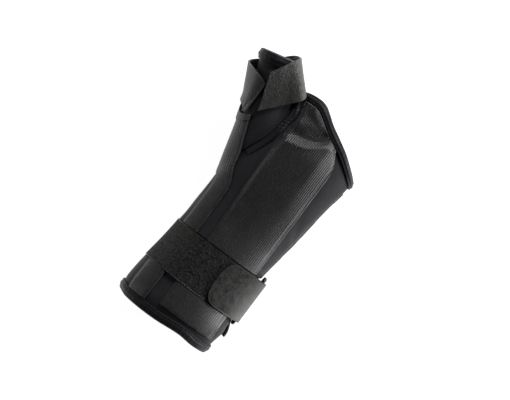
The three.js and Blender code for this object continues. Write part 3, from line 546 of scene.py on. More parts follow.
# Outer and inner wall: the sleeve's face, lifted by noise and folds, and the same moved in by the
# wall, both with their ends slid to the cut edges.
def makeSleeve(look):
    angle = np.linspace(0, 2 * np.pi, look["columns"], endpoint=False)[None, :]
    y = rowsAlong(0, sleeveShape["length"], look["steps"])
    share = y / sleeveShape["length"]
    y = y + forearmEnd(angle) * (1 - eased(0, look["forearmCutTo"], share))
    y = y + (palmEnd(angle) - sleeveShape["length"]) * eased(look["palmCutFrom"], 1, share)
    flat = sleevePoint(angle, y, 0)
    uneven = smoothNoise(look["unevenRadius"] * angle, y, look["unevenSize"], 3)
    lift = look["unevenness"] * uneven * np.sin(np.pi * share)
    onTop = eased(-0.3, 0.1, np.sin(angle))
    lift = (lift + softFolds(sleeveFolds, flat[..., 0], y)) * onTop
    outer = sleevePoint(angle, y, lift)
    inner = sleevePoint(angle, y, -sleeveShape["wall"] + 0.5 * lift)
    piece = wallObject("sleeve_padded", outer, inner, [jersey], ring=True)
    mesh = piece.data
    # The thumb hole is cut by leaving out a rounded block of faces, whose edge is then walled.
    rows, columns = y.shape
    middleAngle = np.broadcast_to(angle + np.pi / columns, (rows - 1, columns))
    middleY = (y[1:] + y[:-1]) / 2
    reach = np.abs(middleAngle - np.pi) / (look["holeHalfAngle"] * degree)
    holeMiddle, holeHalf = (look["holeTo"] + look["holeFrom"]) / 2, (look["holeTo"] - look["holeFrom"]) / 2
    gone = reach ** 3 + (np.abs(middleY - holeMiddle) / holeHalf) ** 3 < 1
    index = np.arange(rows * columns).reshape(rows, columns)
    after = np.roll(index, -1, axis=1)
    shift = rows * columns
    walls = []
    for gap, first, second in (
            (gone & ~np.roll(gone, 1, axis=1), index[:-1], index[1:]),
            (gone & ~np.roll(gone, -1, axis=1), after[1:], after[:-1]),
            (gone & ~np.vstack([gone[:1] * False, gone[:-1]]), after[:-1], index[:-1]),
            (gone & ~np.vstack([gone[1:], gone[:1] * False]), index[1:], after[1:])):
        walls.append(np.stack([first[gap], second[gap], second[gap] + shift, first[gap] + shift], axis=1))
    walls = np.concatenate(walls)
    kept = np.array([polygon.vertices[:] for polygon in mesh.polygons])
    count = gone.size
    keep = np.ones(len(kept), bool)
    keep[:count] = ~gone.ravel()
    keep[count:2 * count] = ~gone.ravel()
    cloth = np.empty(len(kept) * 8)
    mesh.uv_layers[0].data.foreach_get("uv", cloth)
    cloth = cloth.reshape(-1, 4, 2)
    points = np.concatenate([outer.reshape(-1, 3), inner.reshape(-1, 3)])
    flipped = not np.array_equal(kept[0], [index[0, 0], after[0, 0], after[1, 0], index[1, 0]])
    walls = walls[:, ::-1] if flipped else walls
    faces = np.concatenate([kept[keep], walls])
    cloth = np.concatenate([cloth[keep], np.zeros((len(walls), 4, 2))])
    used = np.unique(faces)
    renumber = np.zeros(len(points), int)
    renumber[used] = np.arange(len(used))
    bpy.data.objects.remove(piece)
    bpy.data.meshes.remove(mesh)
    return meshObject("sleeve_padded", points[used], renumber[faces], cloth, [jersey])


sleevePiece = settle(makeSleeve(sleeveLook), "sleeve")


# Back flap: a slab over the sleeve, with its wrist corner curled away from the little finger side.
flapLook = {"columns": 90, "rows": 150, "side": -14, "farSide": -110, "curl": 1.0, "corner": 15,
            "cornerTurn": 12, "cornerReach": 0.25, "start": 11, "startShare": 0.03, "endShare": 0.78,
            "edgeThinning": 0.35, "nearEdge": 0.04, "farEdge": 0.97}


# The sleeve's face at the seat and at the seat plus the thickness, which thins at both edges.
def makeFlap(look):
    start = look["start"] + look["startShare"] * sleeveShape["length"]
    end = look["endShare"] * sleeveShape["length"]
    across = np.linspace(0, 1, look["columns"])[None, :]
    y = np.linspace(start, end, look["rows"])[:, None]
    corner = (1 - eased(start, start + look["corner"], y)) * (1 - eased(0, look["cornerReach"], across))
    angle = degree * mixed(look["side"] + look["cornerTurn"] * corner, look["farSide"], across)
    edges = eased(look["nearEdge"], 0, across) + eased(look["farEdge"], 1, across)
    thickness = sleeveShape["flap"] * (1 - look["edgeThinning"] * edges)
    seat = sleeveShape["gap"] + look["curl"] * corner
    outer = sleevePoint(angle, y, seat + thickness)
    return wallObject("dorsal_flap_padded", outer, sleevePoint(angle, y, seat), [jersey])


flapPiece = settle(roundEdges(makeFlap(flapLook), edgeLook["padding"]), "dorsal_flap")


# Palm panel: a webbing pocket on the sleeve. Its height is its thickness, its ribs, the stay's
# form under it and a slight dip along its sewn edges.
panelLook = {"columns": 200, "steps": 190, "ribSpacing": 1.5, "lowRib": 0.03, "highRib": 0.16,
             "endRib": 0.24, "ribsRiseFrom": 120, "ribsHighFrom": 168, "ribsEndFrom": 178, "stay": 4.3,
             "seam": 0.55, "seamFrom": 1.0, "seamTo": 3.6, "unevenness": 0.22, "unevenSize": 16,
             "bindingLeg": 5.2, "firstTop": 0.93, "slantFrom": 0.55, "flatHem": 6, "thinnest": 0.5}
panelEdges = {
    "at": [.052, .34, .55, .74, .82, .886, .93, 1],
    "left": [-.067, -.072, -.089, -.106, -.088, -.074, -.084, -.131],
    "right": [.461, .444, .444, .442, .432, .356, .3, .24],
}
panelFolds = {
    "x": [6, 15, 1, 24, 10], "y": [197, 190, 203, 191, 186], "turn": [150, 155, 120, 140, 165],
    "length": [9, 13, 7, 7, 12], "width": [3.4, 3.0, 2.4, 2.4, 3.0], "height": [1.1, -0.7, 0.6, 0.5, -0.5],
}


# X of a place across the webbing: the share of the way from its left to its right edge there.
def panelX(across, y):
    at = y / sleeveShape["length"]
    left, right = tableValue(panelEdges, "left", at), tableValue(panelEdges, "right", at)
    return sleeveShape["width"] * mixed(left, right, across)


# The stay's rounded end, a length for each X, and how its form rises: lengths from and to.
stayEnd = {
    "at": [-9, -3, 5, 13, 19, 25, 31, 36, 40],
    "reach": [172, 175, 177, 179.5, 184, 189, 188, 180, 164],
}
stayShape = {"left": (-9, -3), "right": (26, 39.5), "fade": (84, 150), "rise": (142, 172), "low": 0.3,
             "end": (-7, 1.5)}
hollowShape = {"left": (-8, -2), "right": (28, 36), "rise": 1.6, "riseAt": 11, "riseWidth": 5,
               "dip": 1.3, "dipAt": 3, "dipWidth": 3.5}


# Full height inside a slanted, rounded outline: the product of the eased end, sides and rise.
def stayHeight(x, y):
    beyond = y - tableValue(stayEnd, "reach", x)
    over = 1 - eased(*stayShape["end"], beyond)
    sides = eased(*stayShape["left"], x) * (1 - eased(*stayShape["right"], x))
    rise = mixed(stayShape["low"], 1, eased(*stayShape["rise"], y))
    return over * sides * rise * eased(*stayShape["fade"], y)


# The cloth dips beyond the stay's end and rises again towards the palm opening: two bells.
def stayHollow(x, y):
    beyond = y - tableValue(stayEnd, "reach", x)
    rise = np.exp(-((beyond - hollowShape["riseAt"]) / hollowShape["riseWidth"]) ** 2)
    dip = np.exp(-((beyond - hollowShape["dipAt"]) / hollowShape["dipWidth"]) ** 2)
    sides = eased(*hollowShape["left"], x) * (1 - eased(*hollowShape["right"], x))
    return (hollowShape["rise"] * rise - hollowShape["dip"] * dip) * sides


# The top edge keeps beside the palm binding, found by a few steps towards it. The outer face is
# the sleeve's, raised by thickness, ribs, stay and folds, less the seams.
def makePanel(look):
    across = np.linspace(0, 1, look["columns"])[None, :]
    start = sleeveShape["length"] * panelEdges["at"][0]
    top = np.full_like(across, look["firstTop"] * sleeveShape["length"])
    beside = look["bindingLeg"] + 2 * sleeveShape["gap"]
    for _ in range(6):
        top = mixed(top, palmEnd(angleAtX(panelX(across, top), top)) - beside, 0.7)
    y = rowsAlong(start, top.max(), look["steps"])
    y = y + (top - top.max()) * eased(look["slantFrom"], 1, y / top.max())
    x = panelX(across, y)
    width = x[:, -1:] - x[:, :1]
    inward = np.minimum(across, 1 - across) * width
    rising = eased(look["ribsRiseFrom"], look["ribsHighFrom"], y)
    ending = eased(look["ribsHighFrom"], look["ribsEndFrom"], y)
    ribHeight = mixed(mixed(look["lowRib"], look["highRib"], rising), look["endRib"], ending)
    rib = ribHeight * np.cos(2 * np.pi * x / look["ribSpacing"])
    seam = look["seam"] * (1 - eased(look["seamFrom"], look["seamTo"], inward))
    flat = sleeveShape["panelSeat"] + sleeveShape["panel"]
    height = flat + rib - seam + look["stay"] * stayHeight(x, y)
    height = height + (softFolds(panelFolds, x, y) + stayHollow(x, y)) * eased(0, look["flatHem"], inward)
    height = height + look["unevenness"] * smoothNoise(x, y, look["unevenSize"], 11)
    underStrap = strapDent(np.pi / 2, y)
    height = np.minimum(height, mixed(freeHeight, flat + pressedHeight, underStrap))
    height = np.maximum(height, sleeveShape["panelSeat"] + look["thinnest"])
    angle = angleAtX(x, y)
    outer = sleevePoint(angle, y, height)
    inner = sleevePoint(angle, y, sleeveShape["panelSeat"])
    cloth = np.stack(np.broadcast_arrays(x, y), axis=-1)
    return wallObject("palm_panel_webbing", outer, inner, [webbing], cloth=cloth)


panelPiece = settle(roundEdges(makePanel(panelLook), edgeLook["webbing"]), "palm_panel")


# Thumb wrap: sizes, its reach round the sleeve and how far it runs straight below the rim.
wrapShape = {
    "length": 61, "spread": 18.7, "lift": 5.6, "radius": 13.5, "wall": 2.1, "middle": 161.49,
    "halfLength": 37.51, "rimTurn": 13, "flareTurn": 20, "seat": 1.24,
}
wrapReach = {"at": [-1, -.9, -.5, 0, .5, .8, 1], "turn": [78, 70, 50, 44.6, 38, 32.5, 30]}
wrapStraight = {"at": [-1, -.5, 0, .6, 1], "length": [.13, .23, .41, .61, .82]}


wrapStep = 0.01  # the small step in turn or rise from which a slope is taken


# The wrap's edge on the sleeve, an angle and a length: the reach times the cosine of the turn,
# and half the length times its sine, moved outwards at a right angle to the edge.
def wrapEdge(turn, outwards=0.0):
    def plain(angle):
        reach = degree * tableValue(wrapReach, "turn", np.sin(angle)) * np.cos(angle)
        return np.pi - reach, wrapShape["middle"] - wrapShape["halfLength"] * np.sin(angle)

    step = wrapStep
    angle, y = plain(turn)
    before, after = plain(turn - step), plain(turn + step)
    side = sleevePoint(angle + step, y, 0) - sleevePoint(angle - step, y, 0)
    scale = np.hypot(side[..., 0], side[..., 2]) / (2 * step)
    tangent = np.stack([(after[0] - before[0]) * scale, after[1] - before[1]])
    length = np.hypot(*tangent)
    return angle + tangent[1] / length * outwards / scale, y - tangent[0] / length * outwards


# The point at a height over the wrap's edge.
def wrapEdgePoint(turn, outwards, height):
    angle, y = wrapEdge(turn, outwards)
    return sleevePoint(angle, y, height)


# Direction from +Y turned to the thumb side and lifted: its sines and cosines.
def tilted(turn, lift):
    return np.array([-np.sin(turn) * np.cos(lift), np.cos(turn) * np.cos(lift), np.sin(lift)])


wrapRoot = sleevePoint(np.pi, wrapShape["middle"], 0)
rimMiddle = wrapRoot + wrapShape["length"] * tilted(wrapShape["spread"] * degree, wrapShape["lift"] * degree)
rimAxis = tilted(wrapShape["rimTurn"] * degree, wrapShape["lift"] * degree)
rimAcross = np.array([np.cos(wrapShape["rimTurn"] * degree), np.sin(wrapShape["rimTurn"] * degree), 0])
rimUp = np.cross(rimAcross, rimAxis)
flareAxis = tilted(wrapShape["flareTurn"] * degree, wrapShape["lift"] * degree)


# The rim is a circle: its middle plus the radius times a turned direction, moved along its axis.
def rimPoint(turn, radius, along=0.0):
    turn, radius, along = (value[..., None] for value in np.broadcast_arrays(turn, radius, along))
    side = np.cos(turn) * rimUp - np.sin(turn) * rimAcross
    return rimMiddle + radius * side + along * rimAxis


# Thumb wrap: each line is a quadratic curve from its foot on the sleeve, through a knee straight
# below the rim, to the rim.
def wrapPoint(turn, rise, depth):
    turn, rise, depth = np.broadcast_arrays(turn, rise, depth)
    foot = wrapEdgePoint(turn, -depth, wrapShape["seat"])
    rim = rimPoint(turn, wrapShape["radius"] - depth)
    straight = wrapShape["length"] * tableValue(wrapStraight, "length", np.sin(turn))
    knee = rim - straight[..., None] * flareAxis
    share = rise[..., None]
    return mixed(mixed(foot, knee, share), mixed(knee, rim, share), share)


# Unit normal of the wrap: the cross product of its slopes along and around.
def wrapNormal(turn, rise):
    step = wrapStep
    around = wrapPoint(turn + step, rise, 0) - wrapPoint(turn - step, rise, 0)
    along = wrapPoint(turn, rise + step, 0) - wrapPoint(turn, rise - step, 0)
    normal = np.cross(along, around)
    return normal / np.linalg.norm(normal, axis=-1, keepdims=True)


# The point at a height over the wrap, along its normal.
def offWrap(turn, rise, height):
    return wrapPoint(turn, rise, 0) + np.asarray(height)[..., None] * wrapNormal(turn, rise)


wrapLook = {"columns": 150, "rows": 110, "puff": 0.7, "puffTo": 0.1, "puffEnd": 0.45, "mostLift": 0.45,
            "unevenness": 0.3, "unevenSize": 10, "unevenRadius": 14, "hemFrom": 0.75, "hemTo": 0.85,
            "stillTo": 0.06}
wrapFolds = {
    "x": [-30, -24, -36, -20, -44], "y": [176, 150, 186, 186, 205], "turn": [55, 110, 60, 95, 20],
    "length": [12, 12, 10, 10, 8], "width": [2.6, 3.0, 2.4, 2.2, 2.0], "height": [-0.6, 0.5, 0.6, -0.5, 0.4],
}


# The wrap's face, puffed near its foot and folded on the palm side, and the same moved in by the
# wall. Under the hem it is plain.
def makeWrap(look):
    turn = np.linspace(0, 2 * np.pi, look["columns"], endpoint=False)[None, :]
    rise = np.linspace(0, 1, look["rows"])[:, None]
    plain = wrapPoint(turn, rise, 0)
    free = (1 - eased(look["hemFrom"], look["hemTo"], rise)) * eased(0, look["stillTo"], rise)
    lift = look["puff"] * eased(0, look["puffTo"], rise) * (1 - eased(look["puffTo"], look["puffEnd"], rise))
    uneven = smoothNoise(turn * look["unevenRadius"], plain[..., 1], look["unevenSize"], 5)
    lift = lift + look["unevenness"] * uneven
    lift = (lift + softFolds(wrapFolds, plain[..., 0], plain[..., 1])) * free
    onPalm = eased(-0.35, 0.1, np.cos(turn))
    lift = np.minimum(lift, look["mostLift"]) * onPalm
    outer = plain + lift[..., None] * wrapNormal(turn, rise)
    inner = wrapPoint(turn, rise, wrapShape["wall"])
    return wallObject("thumb_wrap_padded", outer, inner, [jersey], ring=True)


wrapPiece = settle(makeWrap(wrapLook), "thumb_wrap")


# Thumb side strip: a narrow webbing pocket, up the sleeve and on over the thumb wrap.
stripLook = {"columns": 44, "sleeveSteps": 110, "slantRows": 30, "wrapRows": 70, "innerTurn": 30,
             "outerStart": 98, "outerEnd": 116, "innerRise": 0.34, "outerRise": 0.6,
             "width": 17, "ribSpacing": 1.5, "ribHeight": 0.05, "hem": 0.9, "hemFrom": 0.78, "hemTo": 0.81,
             "seam": 0.35, "seamFrom": 0.6, "seamTo": 2.6, "slant": 8, "outwards": 2.0, "firstRise": 0.03,
             "bridgeRows": 14.0, "bridgeRounds": 40, "bridgePull": 0.9, "freeHeight": 3.0}
stripTurns = {
    "at": [.03, .15, .36, .5, .552, .592, .645, .69],
    "inner": [65.4, 63.7, 59.6, 55.7, 53.3, 49, 37.6, 31],
    "outer": [36.2, 32.5, 31, 26.5, 20, 5, -6, -8],
}


# Rows up the sleeve at the table's turns, a slanted block to the wrap's edge and rows up the wrap,
# raised by thickness, ribs and hem, less the seams. Rows near the edge are averaged, so that the
# strip bridges from sleeve to wrap.
def makeStrip(look):
    seat = 2 * sleeveShape["gap"]
    across = np.linspace(0, 1, look["columns"])[None, :]

    def turnAt(share):
        outer = mixed(look["outerStart"], look["outerEnd"], share)
        return degree * mixed(look["innerTurn"], outer, across)

    footAngle, footY = wrapEdge(turnAt(0.0), look["outwards"])
    slantFrom = footY[0, -1] - look["slant"]
    straight = rowsAlong(stripTurns["at"][0] * sleeveShape["length"], slantFrom, look["sleeveSteps"])
    slant = np.linspace(0, 1, look["slantRows"] + 1)[1:, None]
    y = np.concatenate([straight + 0 * across, mixed(slantFrom, footY, slant)])
    at = y / sleeveShape["length"]
    turn = mixed(tableValue(stripTurns, "inner", at), tableValue(stripTurns, "outer", at), across)
    blend = np.concatenate([0 * straight, eased(0, 1, slant)])
    angle = mixed(np.pi - degree * turn, footAngle, blend)
    share = np.linspace(0, 1, look["wrapRows"])[:, None]
    rise = mixed(look["firstRise"], mixed(look["innerRise"], look["outerRise"], across), share)

    def surface(height):
        low = sleevePoint(angle, y, height[:len(y)])
        points = np.concatenate([low, offWrap(turnAt(share), rise, height[len(y):])])
        fromEdge = np.arange(len(points)) - len(y)
        near = np.exp(-(fromEdge / look["bridgeRows"]) ** 2)[:, None, None]
        for _ in range(look["bridgeRounds"]):
            middle = (np.roll(points, 1, axis=0) + np.roll(points, -1, axis=0)) / 2
            middle[0], middle[-1] = points[0], points[-1]
            points = mixed(points, middle, look["bridgePull"] * near)
        return points

    inward = np.minimum(across, 1 - across) * look["width"]
    folded = np.concatenate([0 * blend, eased(look["hemFrom"], look["hemTo"], share)])
    rib = look["ribHeight"] * np.cos(2 * np.pi * across * look["width"] / look["ribSpacing"])
    seam = look["seam"] * (1 - eased(look["seamFrom"], look["seamTo"], inward))
    thickness = sleeveShape["strip"] + rib - seam + look["hem"] * folded
    underStrap = np.concatenate([strapDent(np.pi / 2, y), 0 * (share + across)])
    pressed = sleeveShape["strip"] + pressedHeight
    thickness = np.minimum(thickness, mixed(look["freeHeight"], pressed, underStrap))
    inner = surface(np.full(thickness.shape, seat))
    return wallObject("thumb_stay_strip_webbing", surface(seat + thickness), inner, [webbing])


stripPiece = roundEdges(makeStrip(stripLook), edgeLook["webbing"])
settle(stripPiece, "thumb_stay_strip")


# Folded binding: a channel whose outside is a leg, an elliptical nose and a second leg. Stitches
# pull it in at even steps along its length.
bindingLook = {"columns": 300, "tape": 1.2, "palmLeg": 5.2, "wristLeg": 6, "noseSteps": 14, "legSteps": 14,
               "pucker": 0.07, "puckerSpacing": 4.2, "ridge": 0.65, "unevenness": 0.22, "radius": 42,
               "stitchAt": 0.86}


# The channel's section: places along and heights of a leg, a half ellipse and the other leg, at
# the tape's inner or outer face.
def channelProfile(look, wall, leg, outside):
    gap = sleeveShape["gap"] + (look["tape"] if outside else 0)
    legSteps = np.linspace(-leg, 0, look["legSteps"])
    nose = np.linspace(90, -90, look["noseSteps"])[1:-1] * degree
    noseHeight = -wall / 2 + (wall / 2 + gap) * np.sin(nose)
    along = np.concatenate([legSteps, gap * np.cos(nose), legSteps[::-1]])
    height = np.concatenate([0 * legSteps + gap, noseHeight, 0 * legSteps - wall - gap])
    return along[:, None], height[:, None]


# The outer leg swells on both sides of its stitch line and dips on it: a cosine over 0.84 of the
# leg, with a sine of the puckers' spacing and noise added.
def bindingSwell(look, along, height, leg, length, seed):
    crest = np.cos(2 * np.pi * (along + 0.42 * leg) / (0.84 * leg))
    drift = 2 * smoothNoise(length, 0, 9, seed)
    waves = look["pucker"] * np.sin(2 * np.pi * length / look["puckerSpacing"] + drift)
    uneven = look["unevenness"] * smoothNoise(length, along * 2, 7, seed + 1)
    swell = look["ridge"] * (0.5 + 0.5 * crest) * eased(-leg, -leg + 1, along) + waves + uneven
    return np.where(height > 0, swell * eased(-leg - 0.01, -0.6 * leg, along), 0)


# The channel carried once round one of the sleeve's ends, its nose pointing out of the sleeve.
def makeBinding(name, endAt, direction, leg, seed):
    look = bindingLook
    angle = np.linspace(0, 2 * np.pi, look["columns"], endpoint=False)[None, :]

    def surface(outside):
        along, height = channelProfile(look, sleeveShape["wall"], leg, outside)
        swell = bindingSwell(look, along, height, leg, look["radius"] * angle, seed) if outside else 0
        onTop = eased(-0.5, 0, np.sin(angle))
        return sleevePoint(angle, endAt(angle) + direction * along, height + swell * onTop)

    return wallObject(name, surface(True), surface(False), [tape], ring=True)


wristEnd = (forearmEnd, -1, bindingLook["wristLeg"])
handEnd = (palmEnd, 1, bindingLook["palmLeg"])
settle(makeBinding("wrist_binding_tape", *wristEnd, 21), "wrist_binding")
settle(makeBinding("palm_binding_tape", *handEnd, 31), "palm_binding")


hemLook = {"columns": 180, "leg": 7.0, "radius": 14, "swell": 1.1}


# Thumb hem: the same channel round the rim of the thumb wrap.
def makeHem(look):
    turn = np.linspace(0, 2 * np.pi, look["columns"], endpoint=False)[None, :]
    wall = wrapShape["wall"] + sleeveShape["gap"]
    length = turn * look["radius"]

    def surface(outside):
        along, height = channelProfile(bindingLook, wall, look["leg"], outside)
        swell = bindingSwell(bindingLook, along, height, look["leg"], length, 41) if outside else 0
        height = height + look["swell"] * swell
        straight = wrapShape["length"] * tableValue(wrapStraight, "length", np.sin(turn))
        below = offWrap(turn, np.minimum(1 + along / (2 * straight), 1), height)
        above = rimPoint(turn, wrapShape["radius"] + height, along)
        return np.where((along > 0)[..., None], above, below)

    return wallObject("thumb_hem_tape", surface(True), surface(False), [tape], ring=True)


settle(makeHem(hemLook), "thumb_hem")


thenarLook = {"steps": 260, "corners": 26, "from": -66, "to": 25, "width": 5.5, "thickness": 2.2,
              "length": 68, "base": 0.3, "pucker": 0.34, "puckerSpacing": 3.4, "groove": 0.5,
              "grooveAt": 0.42, "grooveWidth": 0.1, "rough": 0.35, "thinEnd": 0.15}


# Thenar binding: a rounded tape along the wrap's curved edge. Its crown is a superellipse, less a
# groove, with waves of the stitches' spacing and noise added, and it thins towards the strip.
def makeThenar(look):
    share = np.linspace(0, 1, look["steps"])[:, None]
    across = np.linspace(0, 1, look["corners"])[None, :]
    turn = degree * mixed(look["from"], look["to"], share)
    length = look["length"] * share
    crown = (1 - np.abs(2 * across - 1) ** 3) ** 0.6
    groove = look["groove"] * np.exp(-((across - look["grooveAt"]) / look["grooveWidth"]) ** 2)
    drift = 3.5 * smoothNoise(length, 0 * across, 11, 52) + 3 * across
    waves = look["pucker"] * np.sin(2 * np.pi * length / look["puckerSpacing"] + drift) * crown
    waves = waves * (0.5 + 0.5 * smoothNoise(length, 0 * across, 8, 53))
    rough = look["rough"] * smoothNoise(length, across * 5, 4, 51) * crown
    taper = eased(-0.02, 0.04, share) * mixed(1, look["thinEnd"], eased(0.5, 0.9, share))
    top = look["base"] + (look["thickness"] * crown - groove + waves + rough) * taper
    base = sleeveShape["gap"]
    outwards = base + look["width"] * across
    outer = wrapEdgePoint(turn, outwards, base + np.maximum(top, look["base"]))
    return wallObject("thenar_binding_tape", outer, wrapEdgePoint(turn, outwards, base), [tape])


settle(makeThenar(thenarLook), "thenar_binding")


# Straps that go round a bar of the ring: the turns from and to, in degrees, at which they meet it.
foldLook = {"pathSteps": 330, "rows": 61, "corners": 8, "fromAbove": (-160, 50), "fromBelow": (190, -30)}


# Middle line of one row in X and Z: a smooth curve along the sleeve at the ingoing angles, round
# the bar and back over itself at the outgoing ones.
def foldedPath(y, ingoing, outgoing, seatAt, thickness, bar, turns):
    foldRadius = ringShape["bar"] / 2 + sleeveShape["gap"] + thickness / 2
    turn = degree * np.linspace(*turns, foldLook["corners"])
    arc = bar + foldRadius * np.stack([np.cos(turn), np.sin(turn)], axis=-1)
    under = seatAt(ingoing) + thickness / 2
    over = seatAt(outgoing) + 1.5 * thickness + sleeveShape["gap"]
    coming = sleevePoint(degree * ingoing, y, under)[:, [0, 2]]
    going = sleevePoint(degree * outgoing, y, over)[:, [0, 2]]
    return smoothPath(np.concatenate([coming, arc, going]), foldLook["pathSteps"])


# Strap from its middle lines, a row for each place across it: each face is half its thickness
# off the middle line, along the line's normal in X and Z.
def foldedStrap(name, paths, rowsY, thickness, materials, relief=0, zoneAt=None, cloth=None):
    middle = np.stack([paths[..., 0], rowsY[:, None] + 0 * paths[..., 0], paths[..., 1]], axis=-1)
    step = np.gradient(paths, axis=1)
    step = step / np.linalg.norm(step, axis=2, keepdims=True)
    normal = np.stack([step[..., 1], 0 * step[..., 0], -step[..., 0]], axis=-1)
    outer = middle + normal * (thickness / 2 + relief * np.ones(paths.shape[:2]))[..., None]
    inner = middle - normal * thickness / 2
    return wallObject(name, outer, inner, materials, zoneAt=zoneAt, cloth=cloth)


wristStrapLook = {"width": 37, "thickness": 1.5, "start": 290, "leave": 31, "comingSteps": 23,
                  "goingSteps": 6, "rowSpread": 82.8, "tabReach": 0.19, "tabRounding": 0.12,
                  "tabPower": 2.6, "line": 0.5, "selvedge": 0.9, "edge": 0.4, "tuft": 0.3,
                  "tuftSizes": (1.3, 2.9), "largeTuft": 0.6,
                  "pileFade": 6, "hookRelief": 0.08, "hookFrom": -2}


# Each row comes round the back, turns over the upper bar and ends at the tab's rounded outline, a
# superellipse. Its pile is raised by noise as far as the fold.
def makeWristStrap(look):
    spread = look["rowSpread"] * degree
    share = np.sin(np.linspace(-spread, spread, foldLook["rows"])) / np.sin(spread)
    share[0], share[-1] = -1, 1
    halfWidth = look["width"] / 2
    rowsY = strapBands[0]["middle"] + share * halfWidth

    def seatAt(angle):
        return mixed(strapOnPalm, strapOnBack, eased(150, 200, angle))

    paths = []
    for across, y in zip(share, rowsY):
        rounding = 1 - (1 - min(abs(across), 1) ** look["tabPower"]) ** (1 / look["tabPower"])
        tabX = sleeveShape["width"] * (look["tabReach"] + look["tabRounding"] * rounding)
        ingoing = np.linspace(look["start"], look["leave"], look["comingSteps"])
        outgoing = np.linspace(look["leave"], angleAtX(tabX, y) / degree, look["goingSteps"])
        paths.append(foldedPath(y, ingoing, outgoing, seatAt, look["thickness"], upperBar,
                                foldLook["fromAbove"]))
    paths = np.array(paths)
    middle = paths[foldLook["rows"] // 2]
    length = np.concatenate([[0], np.cumsum(np.linalg.norm(np.diff(middle, axis=0), axis=1))])
    fromFold = length - length[np.argmax(middle[:, 0])]
    offMiddle = np.abs(share) * halfWidth
    inside = 1 - eased(halfWidth - look["selvedge"], halfWidth - look["edge"], offMiddle)
    small, large = (smoothNoise(rowsY[:, None], length[None, :], size, seed)
                    for size, seed in zip(look["tuftSizes"], (61, 62)))
    onPile = 1 - eased(-look["pileFade"], 0, fromFold)[None, :]
    relief = look["tuft"] * (0.3 + small + look["largeTuft"] * large) * inside[:, None]
    relief = relief * mixed(look["hookRelief"], 1, onPile)

    def zoneAt(place):
        selvedge = np.abs(place[:, 1]) > halfWidth - look["line"]
        return np.where(selvedge, 2, np.where(place[:, 0] > look["hookFrom"], 1, 0))

    cloth = np.stack(np.broadcast_arrays(fromFold[None, :], share[:, None] * halfWidth), axis=-1)
    return foldedStrap("wrist_strap_pile", paths, rowsY, look["thickness"], [pile, foldedHook, webbing],
                       relief, zoneAt, cloth)


settle(roundEdges(makeWristStrap(wristStrapLook), edgeLook["strap"]), "wrist_strap")


ringTabLook = {"width": 35, "rows": 21, "thickness": 1.2, "ingoing": (-60, -15, 6),
               "outgoing": (-22, -44, 4)}


# Ring tab: webbing that comes up from the back, turns round the lower bar and goes down again.
def makeRingTab(look):
    rowsY = strapBands[0]["middle"] + np.linspace(-look["width"] / 2, look["width"] / 2, look["rows"])
    ingoing, outgoing = np.linspace(*look["ingoing"]), np.linspace(*look["outgoing"])
    paths = np.array([foldedPath(y, ingoing, outgoing, lambda angle: strapOnBack + 0 * angle,
                                 look["thickness"], lowerBar, foldLook["fromBelow"]) for y in rowsY])
    return foldedStrap("ring_tab_webbing", paths, rowsY, look["thickness"], [webbing])


settle(roundEdges(makeRingTab(ringTabLook), edgeLook["webbing"]), "ring_tab")


# Ring: a round bar carried along a rectangle with rounded corners.
def makeRing(shape):
    halfLength = wristStrapLook["width"] / 2 + shape["sideGap"] + shape["bar"] / 2
    halfWidth = (shape["opening"] + shape["bar"]) / 2
    quarter = np.linspace(0, 90, shape["cornerSteps"])
    turns = degree * (np.repeat([0, 90, 180, 270], shape["cornerSteps"]) + np.tile(quarter, 4))
    right = np.repeat([1, -1, -1, 1], shape["cornerSteps"])
    up = np.repeat([1, 1, -1, -1], shape["cornerSteps"])
    along = right * (halfLength - shape["corner"]) + shape["corner"] * np.cos(turns)
    across = up * (halfWidth - shape["corner"]) + shape["corner"] * np.sin(turns)
    side = np.linspace(0, 2 * np.pi, shape["sides"], endpoint=False)[None, :]
    out = shape["bar"] / 2 * np.cos(side)
    points = np.stack([
        ringMiddle[0] + shape["bar"] / 2 * np.sin(side) + 0 * along[:, None],
        ringMiddle[1] + along[:, None] + out * np.cos(turns)[:, None],
        ringMiddle[2] + across[:, None] + out * np.sin(turns)[:, None]], axis=-1)
    rows, columns = points.shape[:2]
    index = np.arange(rows * columns).reshape(rows, columns)
    down, over = np.roll(index, -1, axis=0), np.roll(index, -1, axis=1)
    faces = np.stack([index, over, np.roll(down, -1, axis=1), down], axis=-1).reshape(-1, 4)
    cloth = np.zeros((len(faces), 4, 2))
    return meshObject("strap_ring_moulded", points.reshape(-1, 3), faces, cloth, [moulded])


settle(makeRing(ringShape), "strap_ring")


backStrapLook = {"columns": 150, "rows": 30, "mid": (-32, -140), "hand": (-24, -118)}


# Back straps: slabs that lie over the flap, from one angle to another round the back.
def makeBackStrap(name, band, turns, look):
    angle = degree * np.linspace(*turns, look["columns"])[None, :]
    y = band["middle"] + band["width"] * np.linspace(-0.5, 0.5, look["rows"])[:, None]
    outer = sleevePoint(angle, y, strapOnBack + sleeveShape["strap"])
    return roundEdges(wallObject(name, outer, sleevePoint(angle, y, strapOnBack), [hook]), edgeLook["strap"])


for name, band in (("mid", strapBands[1]), ("hand", strapBands[2])):
    slab = makeBackStrap(name + "_strap_tape", band, backStrapLook[name], backStrapLook)
    settle(slab, name + "_strap")

